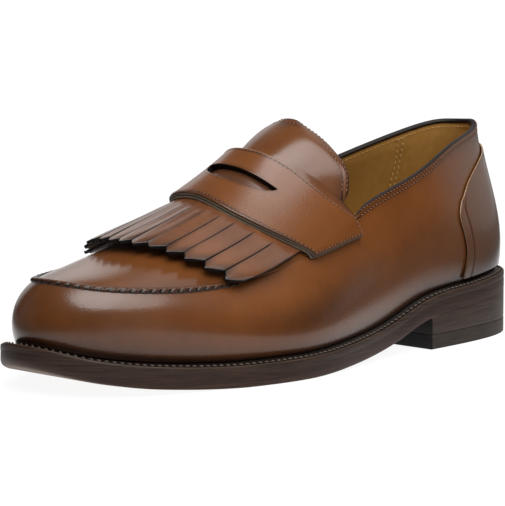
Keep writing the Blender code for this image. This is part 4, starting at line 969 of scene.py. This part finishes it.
# Rows of stitches on the quarters and the tongue; the first row lies on the binding, the second on the hide
stitch = dict(length=1.5, gap=0.6, radius=0.23, slant=0.12, sink=0.05, tongueSink=0.15, onBinding=(0.2, 0.0),
              endGirth=0.01, steps=900, endSteps=14)
rowsMade = []
g = np.linspace(-last["throat"] + stitch["endGirth"], last["throat"] - stitch["endGirth"], stitch["steps"])
size = (stitch["length"], stitch["gap"], stitch["radius"])
flatTongue, flatSquare = tongueFine.reshape(-1, 3), tongueSquare.reshape(-1, 3)
for away, above in zip(binding["rows"], stitch["onBinding"]):
    r = riseBelow(g, away - binding["top"])
    rowsMade += stitchSheets(wallOffset(g, r, above), wallOut(g, r), *size, lift=-stitch["sink"],
                             slant=stitch["slant"])
    path = tongueRim + tongueUp * (binding["top"] * binding["tongueTall"] - away) + tongueOut * above
    if not above:  # drawn on to the hide
        near = np.argmin(((path[:, None] - flatTongue[None]) ** 2).sum(-1), axis=1)
        square = flatSquare[near]
        path = path - square * ((path - flatTongue[near]) * square).sum(-1, keepdims=True)
    kept = slice(stitch["endSteps"], -stitch["endSteps"])
    rowsMade += stitchSheets(path[kept], tongueOut[kept], *size, lift=-stitch["tongueSink"],
                             slant=stitch["slant"])
addPiece("upperStitches", rowsMade, [topThread], merge=True)

# Lining: the wall and apron offset inwards by the upper's thickness
lining = dict(
    depth=1.95, leather=0.5, wallGrid=(260, 34), rises=(0.02, 1.014), rimDark=(0.28, 0.97, -0.08),
    frontShade=(0.6, 0.10, 0.26), apronGirth=0.985, apronSpan=0.97, apronGrid=60, tongueGrid=(40, 60),
    cornerIn=(0.93, 0.9), topRow=1.6, rowEnd=0.02, rowSteps=700, rowStitch=(1.8, 0.7, 0.18), seamGirth=1.835,
    seamApart=0.0035, seamRise=(0.30, 0.985, 300), seamStitch=(1.9, 0.8, 0.24))
girth, rise = gridOf(np.linspace(0, 2, lining["wallGrid"][0], endpoint=False),
                     np.linspace(*lining["rises"], lining["wallGrid"][1]))
# painted light on the lining: darker under a strip along the top edge, which stays light as a painted
# highlight, and darker towards the front as painted shade
liningShade = ramped(rise, *lining["rimDark"]) + ramped(awayFromHeel(girth), *lining["frontShade"])
inGirth, inAcross = gridOf(np.linspace(lining["apronGirth"], last["throat"], lining["apronGrid"]),
                           np.linspace(-lining["apronSpan"], lining["apronSpan"], lining["apronGrid"]))
climb, across = gridOf(*(np.linspace(a, 1, n) for a, n in zip((0, -1), lining["tongueGrid"])))
low, narrow = lining["cornerIn"]  # the tongue's normals are read a little inside its rim
tongueIn = normalOf(tonguePoint, climb * low, across * narrow, probe["tongue"])
addPiece("lining", [
    sheet(wallOffset(girth, rise, -lining["depth"]), dict(burnish=liningShade), closeRows=True, flip=True),
    sheet(vampOffset(inGirth, inAcross, -lining["depth"]), flip=True),
    sheet(tonguePoint(climb, across) + tongueIn * lining["depth"], flip=True),
], [liningCalf], wall=lining["leather"])
g = np.linspace(-last["throat"] + lining["rowEnd"], last["throat"] - lining["rowEnd"], lining["rowSteps"])
seamRise = np.linspace(*lining["seamRise"])
seamPlaces = [lining["seamGirth"] + way * lining["seamApart"] for way in (-1, 1)]
linRows = []
for girth, rise, size in [(g, riseBelow(g, lining["topRow"]), lining["rowStitch"])] + [
        (np.full_like(seamRise, place), seamRise, lining["seamStitch"]) for place in seamPlaces]:
    path = wallOffset(girth, rise, -lining["depth"] - lining["leather"])
    linRows += stitchSheets(path, -wallOut(girth, rise), *size)
addPiece("liningStitches", linRows, [liningThread], merge=True)
print("lining made")

# Bottom: welt, outsole, heel, top lift and insole
bottom = dict(around=720, seatPlay=0.02, hiddenWelt=3.0, stitchInset=1.7, stitchSink=0.10, stitchLift=0.26,
              stitch=(2.1, 1.2, 0.5), stitchSlant=0.5, weltInset=0.06, weltSlope=(0.85, 0.5),
              weltFoot=[(0.0, 0.35), (-0.05, 1.2)],  # inset, height from the welt's underside
              weltHead=[(-0.05, -1.0), (0.05, -0.4), (0.45, 0.0)],  # inset, height from its top
              weltFace=[(0.45, 0.0), (0.9, 0.06), (1.5, -0.05), (2.2, 0.04), (3.1, -0.10)])
pickLoop = np.linspace(0, len(loop) - 1, bottom["around"], endpoint=False).astype(int)
loopAt, outAt = loop[pickLoop], loopOut[pickLoop]
weltLow = last["outsole"] + last["seatGap"]
weltTop = weltLow + last["welt"]


# ring round the bottom: inset from the outline and height above the underside, point by point
def bottomRing(profile):
    rows = []
    for inset, height in profile:
        plan = loopAt - outAt * np.broadcast_to(inset, len(loopAt))[:, None]
        level = bottomHeight(np.clip(plan[:, 0], 0, last["length"]))
        rows.append(np.column_stack([plan, level + height]))
    return np.stack(rows, axis=1)


shown = weltWidth(loopAt[:, 0])
inner, seat, ridge = shown + bottom["hiddenWelt"], weltLow - bottom["seatPlay"], weltTop + last["weltRise"]
foot = (bottom["weltInset"], seat)
slopeShare, slopeRise = bottom["weltSlope"]
weltSide = bottomRing([foot] + [(inset, weltLow + more) for inset, more in bottom["weltFoot"]]
                      + [(inset, weltTop + more) for inset, more in bottom["weltHead"]])
weltOver = bottomRing([(inset, weltTop + more) for inset, more in bottom["weltFace"]]
                      + [(shown * slopeShare, weltTop + slopeRise), (shown, ridge), (inner, ridge)])
weltUnder = bottomRing([(inner, ridge), (inner, seat), foot])
sideTone = np.linspace(0, 1, weltSide.shape[1])[None, :]
addPiece("weltStrip", [
    sheet(weltSide, dict(layer=sideTone), 0, closeRows=True), sheet(weltOver, None, 1, closeRows=True),
    sheet(weltUnder, None, 1, closeRows=True),
], [weltEdgeCalf, weltCalf], ["welt"])
row = bottomRing([(bottom["stitchInset"], weltTop - bottom["stitchSink"])])[:, 0]
addPiece("weltStitches", stitchSheets(
    np.r_[row, row[:1]], np.tile(up, (len(row) + 1, 1)), *bottom["stitch"], lift=bottom["stitchLift"],
    slant=bottom["stitchSlant"]), [weltThread], merge=True)


# cap: a closed loop drawn in to the line down its middle, height given by a function of station
def capSheet(plan, ends, heightOf, rings, material, flip=False):
    station = np.clip(plan[:, 0], *ends)
    tip = int(np.argmax(plan[:, 0]))
    outer, inner = plan[:tip + 1], plan[:tip - 1 if tip else None:-1]
    middle = (np.interp(station, *outer.T) + np.interp(station, *inner.T)) / 2
    share = np.linspace(0, 1, rings)[None, :, None]
    flat = plan[:, None] * (1 - share) + np.column_stack([station, middle])[:, None] * share
    points = np.concatenate([flat, heightOf(flat[..., :1])], axis=-1)
    return sheet(points, None, material, closeRows=True, flip=flip)


sole = dict(
    softFrom=(1, 70.0, 20.0), toeFrom=(1, 258.0, 30.0), topPlay=0.28, topInset=0.06, spine=(30, 262),
    rings=(26, 12),
    tones=(0, 0.02, 0.08, 0.2, 0.45, 0.78, 0.92, 0.98, 1.0), heelTone=0.3,
    edge=[  # inset ahead of the heel, more at the toe, height, more at the toe
        (0.9, 2.0, 0.0, 0.0), (0.35, 1.2, 0.12, 0.22), (0.08, 0.55, 0.5, 0.45), (0.0, 0.16, 1.2, 0.6)],
    flank=[(-0.06, 2.7), (-0.04, 4.7), (0.0, 5.5), (0.03, 6.0)])  # inset, height
high = last["outsole"]
soft = ramped(loopAt[:, 0], *sole["softFrom"])  # the edge is rounded only ahead of the heel
toeRound = ramped(loopAt[:, 0], *sole["toeFrom"])
lowEdge = [(inset * soft + toe * toeRound - bottom["seatPlay"] * (inset == 0), height + more * toeRound)
           for inset, toe, height, more in sole["edge"]]
soleTop = high + sole["topPlay"]
soleSide = bottomRing(lowEdge + sole["flank"] + [(sole["topInset"], soleTop)])
soleTone = np.maximum(np.array(sole["tones"])[None, :], sole["heelTone"] * (1 - soft)[:, None])
addPiece("outsoleEdge", [
    sheet(soleSide, dict(layer=soleTone), 0, closeRows=True),
    capSheet(loopAt - outAt * lowEdge[0][0][:, None], sole["spine"], bottomHeight, sole["rings"][0], 1,
             flip=True),
    capSheet(loopAt - outAt * sole["topInset"], sole["spine"], lambda s: bottomHeight(s) + soleTop,
             sole["rings"][1], 1),
], [soleEdgeCalf, treadCalf], ["outsole"])

heel = dict(
    profile=[(0.30, 0.0), (0.06, 0.03), (0.0, 0.10), (-0.02, 0.5), (0.0, 0.92), (0.02, 0.97), (0.06, 1.0)],
    middle=(46.0, 1.5), rings=14, around=420, breastSteps=40, breastDepth=0.5, plainTone=0.16, capTone=0.3,
    play=0.02)  # the profile gives inset and share of the height


# heel outline: the sole outline behind the breast line, closed by the straight breast
def heelOutline(inset):
    plan = loop - loopOut * inset
    tip = int(np.argmax(plan[:, 0]))
    front = last["heelLength"]
    halves = plan[:tip], plan[tip:]
    outer, inner = (side[side[:, 0] < front] for side in halves)
    ends = [np.array([[front, np.interp(front, *side.T)]]) for side in (halves[0], halves[1][::-1])]
    breast = ends[0] + (ends[1] - ends[0]) * np.linspace(0, 1, heel["breastSteps"])[:, None]
    closed = np.concatenate([outer, breast, inner])
    steps = wayAlong(closed)
    return readAlong(np.linspace(0, steps[-1], heel["around"], endpoint=False), steps, closed)


# heel block: the outline carried up by the profile between two heights, with a cap at each end
def heelBlock(name, lowOf, highOf, material, node):
    rows = []
    for inset, share in heel["profile"]:
        plan = heelOutline(inset)
        plan[:, 0] = np.minimum(plan[:, 0], last["heelLength"] - max(inset, 0))
        rows.append(np.column_stack([plan, lowOf(plan[:, 0]) * (1 - share) + highOf(plan[:, 0]) * share]))
    grid = np.stack(rows, axis=1)
    onBreast = grid[..., 0] > last["heelLength"] - heel["breastDepth"]
    shares = np.array(heel["profile"])[None, :, 1]
    tone = np.where(onBreast, 0.0, np.maximum(shares, heel["plainTone"]))  # the breast is painted black as painted shade
    share = np.linspace(0, 1, heel["rings"])[None, :, None]
    sheets = [sheet(grid, dict(layer=tone), 0, closeRows=True)]
    for pick, heightOf, flip in ((0, lowOf, True), (-1, highOf, False)):
        flat = grid[:, pick, None, :2] * (1 - share) + np.array(heel["middle"]) * share
        sheets.append(sheet(np.concatenate([flat, heightOf(flat[..., :1])], axis=-1),
                            dict(layer=heel["capTone"]), 1, closeRows=True, flip=flip))
    addPiece(name, sheets, [material, material], [node], merge=True)


heelBlock("heelStack", lambda s: 0 * s + last["topLift"] + heel["play"],
          lambda s: bottomHeight(s) + heel["play"], heelCalf, "heel_stack")
heelBlock("heelTopLift", lambda s: 0 * s, lambda s: 0 * s + last["topLift"] - heel["play"], liftRubber,
          "heel_top_lift")

sock = dict(clear=0.8, play=0.2, spine=(30, 255), rings=20)
sockPlan = insetLoop(last["wall"] + sock["clear"])[pickLoop]
sockTop = featherRise + last["insole"]
sockSide = np.stack([np.column_stack([sockPlan, bottomHeight(sockPlan[:, 0]) + level])
                     for level in (featherRise + sock["play"], sockTop)], axis=1)
addPiece("sockLining", [
    capSheet(sockPlan, sock["spine"], lambda s: bottomHeight(s) + sockTop, sock["rings"], 0),
    sheet(sockSide, None, 0, closeRows=True),
], [sockCalf], ["insole"])
print("bottom made")

# Floor, light and camera
# opal light table: a pale sheet lit a little from below, so shadows stay faint; it dims to the sides
# and thins out to nothing ahead of the shoe, where the bright backdrop shows
table = dict(ahead=(0.711, -0.703, 0.0), beside=(0.703, 0.711, 0.0), spread=0.12, front=(0.15, 0.31),
             sides=(0.135, 0.25), glow=(0.92, 0.03), half=9.0)
floorMaterial, tree, shader = newMaterial("opalTable")
coord = addNode(tree, "TexCoord")
ahead, beside = (addNode(tree, "VectorMath", {1: table[way]}, {0: (coord, "Object")}, operation="DOT_PRODUCT")
                 for way in ("ahead", "beside"))
beside = addNode(tree, "Math", None, {0: (beside, "Value")}, operation="ABSOLUTE")
behind = addNode(tree, "Math", {1: 0.0}, {0: (ahead, "Value")}, operation="MINIMUM")
beside = addNode(tree, "Math", {1: table["spread"]}, {0: behind, 2: beside}, operation="MULTIPLY_ADD")
front, sides = (addNode(tree, "MapRange", {"From Min": near, "From Max": far}, {"Value": source},
                        interpolation_type="SMOOTHSTEP")
                for (near, far), source in ((table["front"], (ahead, "Value")), (table["sides"], beside)))
cloud = addNode(tree, "TexNoise", {"Scale": 3.0, "Detail": 2.0}, {"Vector": (coord, "Object")})
pale = addNode(tree, "Mix", {6: linear("#525151"), 7: linear("#545353")}, {0: cloud}, data_type="RGBA")
sheetTone = addNode(tree, "Mix", {7: linear("#4a4a4a")}, {0: sides, 6: (pale, 2)}, data_type="RGBA")
glow = addNode(tree, "MapRange", {"To Min": table["glow"][0], "To Max": table["glow"][1]}, {"Value": sides})
setInputs(tree, shader, {"Emission Color": (1, 1, 1, 1), "Roughness": 0.8, "Specular IOR Level": 0.1},
          {"Base Color": (sheetTone, 2), "Emission Strength": glow})
clear = addNode(tree, "BsdfTransparent")
thinned = addNode(tree, "MixShader", None, {0: front, 1: shader, 2: clear})
setInputs(tree, tree.nodes["Material Output"], None, {"Surface": thinned})
floorMesh = bpy.data.meshes.new("floor")
floorCorners = [(x * table["half"], y * table["half"], 0) for x, y in ((-1, -1), (1, -1), (1, 1), (-1, 1))]
floorMesh.from_pydata(floorCorners, [], [(0, 1, 2, 3)])
floorMesh.materials.append(floorMaterial)
floor = bpy.data.objects.new("floor", floorMesh)
bpy.context.scene.collection.objects.link(floor)

# studio light as a sky: one round soft box overhead and ahead, a white backdrop behind, dim elsewhere;
# the box is drawn on a level plane above the shoe, in shares of that plane's height
light = dict(
    azimuth=45.3, stops=[(0.0, 0.03), (0.35, 0.05), (0.75, 0.10), (1.0, 0.14)], horizon=0.02,
    centre=(0.36, 0.86), radius=(0.84, 1.06), back=(-0.20, 0.08),  # to the right and ahead, radii, rear edge
    strength=(5.5, 4.0), fall=(0.15, 0.75), rearStrength=(0.8, 1.0), rearFall=(0.0, 0.6),
    glows=[  # azimuth, elevation, outer and inner radius, strength
        (225.0, 4.0, 38.0, 24.0, 0.55), (233.0, 29.0, 16.0, 6.0, 0.46), (185.0, 46.0, 28.0, 12.0, 0.68),
        (83.0, 2.0, 34.0, 8.0, 0.27), (175.0, 2.0, 30.0, 10.0, 0.42), (303.0, 6.0, 34.0, 10.0, 0.12),
        (225.0, -11.0, 18.0, 11.0, 0.7), (45.0, -22.0, 40.0, 12.0, 0.15)],
    lamp=dict(place=(0.35, -0.35, 1.5), target=(0, 0, 0.05), size=(1.3, 1.1), power=2))
world = bpy.data.worlds.new("studio")
bpy.context.scene.world = world
world.use_nodes = True
tree = world.node_tree
coord = addNode(tree, "TexCoord")
sky = (coord, "Generated")
split = addNode(tree, "SeparateXYZ", None, {0: sky})
total = addNode(tree, "ValToRGB", None, {"Fac": (split, "Z")})
setStops(total, [(at, (grey, grey, grey, 1)) for at, grey in light["stops"]])


# direction of an azimuth and elevation, in degrees
def towards(azimuth, elevation):
    a, e = math.radians(azimuth), math.radians(elevation)
    return (math.sin(a) * math.cos(e), -math.cos(a) * math.cos(e), math.sin(e))


def eased(value, ends, values):
    return addNode(tree, "MapRange", {"From Min": ends[0], "From Max": ends[1], "To Min": values[0],
                                      "To Max": values[1]}, {"Value": value}, interpolation_type="SMOOTHSTEP")


height = addNode(tree, "Math", {1: light["horizon"]}, {0: (split, "Z")}, operation="MAXIMUM")
shares, parts = [], []
for way, strength, fall in ((towards(light["azimuth"] + 90, 0), light["strength"], light["fall"]),
                            (towards(light["azimuth"], 0), light["rearStrength"], light["rearFall"])):
    along = addNode(tree, "VectorMath", {1: way}, {0: sky}, operation="DOT_PRODUCT")
    shares.append(addNode(tree, "Math", None, {0: (along, "Value"), 1: height}, operation="DIVIDE"))
    parts.append(eased(shares[-1], fall, strength))
place = addNode(tree, "CombineXYZ", None, {0: shares[0], 1: shares[1]})
away = addNode(tree, "VectorMath", {1: (*light["centre"], 0.0)}, {0: place}, operation="DISTANCE")
parts += [eased((away, "Value"), light["radius"], (1.0, 0.0)), eased(shares[1], light["back"], (0.0, 1.0))]
boxGlow = parts[0]
for part in parts[1:]:
    boxGlow = addNode(tree, "Math", None, {0: boxGlow, 1: part}, operation="MULTIPLY")
total = addNode(tree, "VectorMath", None, {0: total, 1: boxGlow}, operation="ADD")
for azimuth, elevation, wideEdge, closeEdge, strength in light["glows"]:
    near = addNode(tree, "VectorMath", {1: towards(azimuth, elevation)}, {0: sky}, operation="DOT_PRODUCT")
    ends = [math.cos(math.radians(edge)) for edge in (wideEdge, closeEdge)]
    total = addNode(tree, "VectorMath", None, {0: total, 1: eased((near, "Value"), ends, (0.0, strength))},
                    operation="ADD")
setInputs(tree, tree.nodes["Background"], None, {"Color": total})


# puts an object at a place with its -Z turned away from a direction and its X level
def aimed(thing, place, back):
    bpy.context.scene.collection.objects.link(thing)
    right = unit(np.cross(up, back))
    over = np.cross(back, right)
    thing.matrix_world = Matrix([(right[k], over[k], back[k], place[k]) for k in range(3)] + [(0, 0, 0, 1)])


lamp = bpy.data.lights.new("topSoftBox", "AREA")
lamp.shape = "RECTANGLE"
lamp.size, lamp.size_y = light["lamp"]["size"]
lamp.energy = light["lamp"]["power"]
aimed(bpy.data.objects.new("topSoftBox", lamp), light["lamp"]["place"],
      unit(np.subtract(light["lamp"]["place"], light["lamp"]["target"])))

view = dict(azimuth=45.3, elevation=7.0, distance=1.284, focalPixels=2831.0, middle=(261.9, 259.5),
            size=(505, 506), aim=(152.0, 0.0, 45.0), sensor=36.0, farClip=60)
back = np.array(towards(view["azimuth"], view["elevation"]))
camera = bpy.data.objects.new("camera", bpy.data.cameras.new("camera"))
aimed(camera, toFrame(view["aim"]) + back * view["distance"], back)
camera.data.sensor_fit = "HORIZONTAL"
camera.data.sensor_width = view["sensor"]
camera.data.lens = view["focalPixels"] / view["size"][0] * view["sensor"]
camera.data.shift_x = -(view["middle"][0] - view["size"][0] / 2) / view["size"][0]
camera.data.shift_y = (view["middle"][1] - view["size"][1] / 2) / view["size"][0]
camera.data.clip_end = view["farClip"]
bpy.context.scene.camera = camera
bpy.context.scene.view_settings.view_transform = "Standard"
print("stage made")
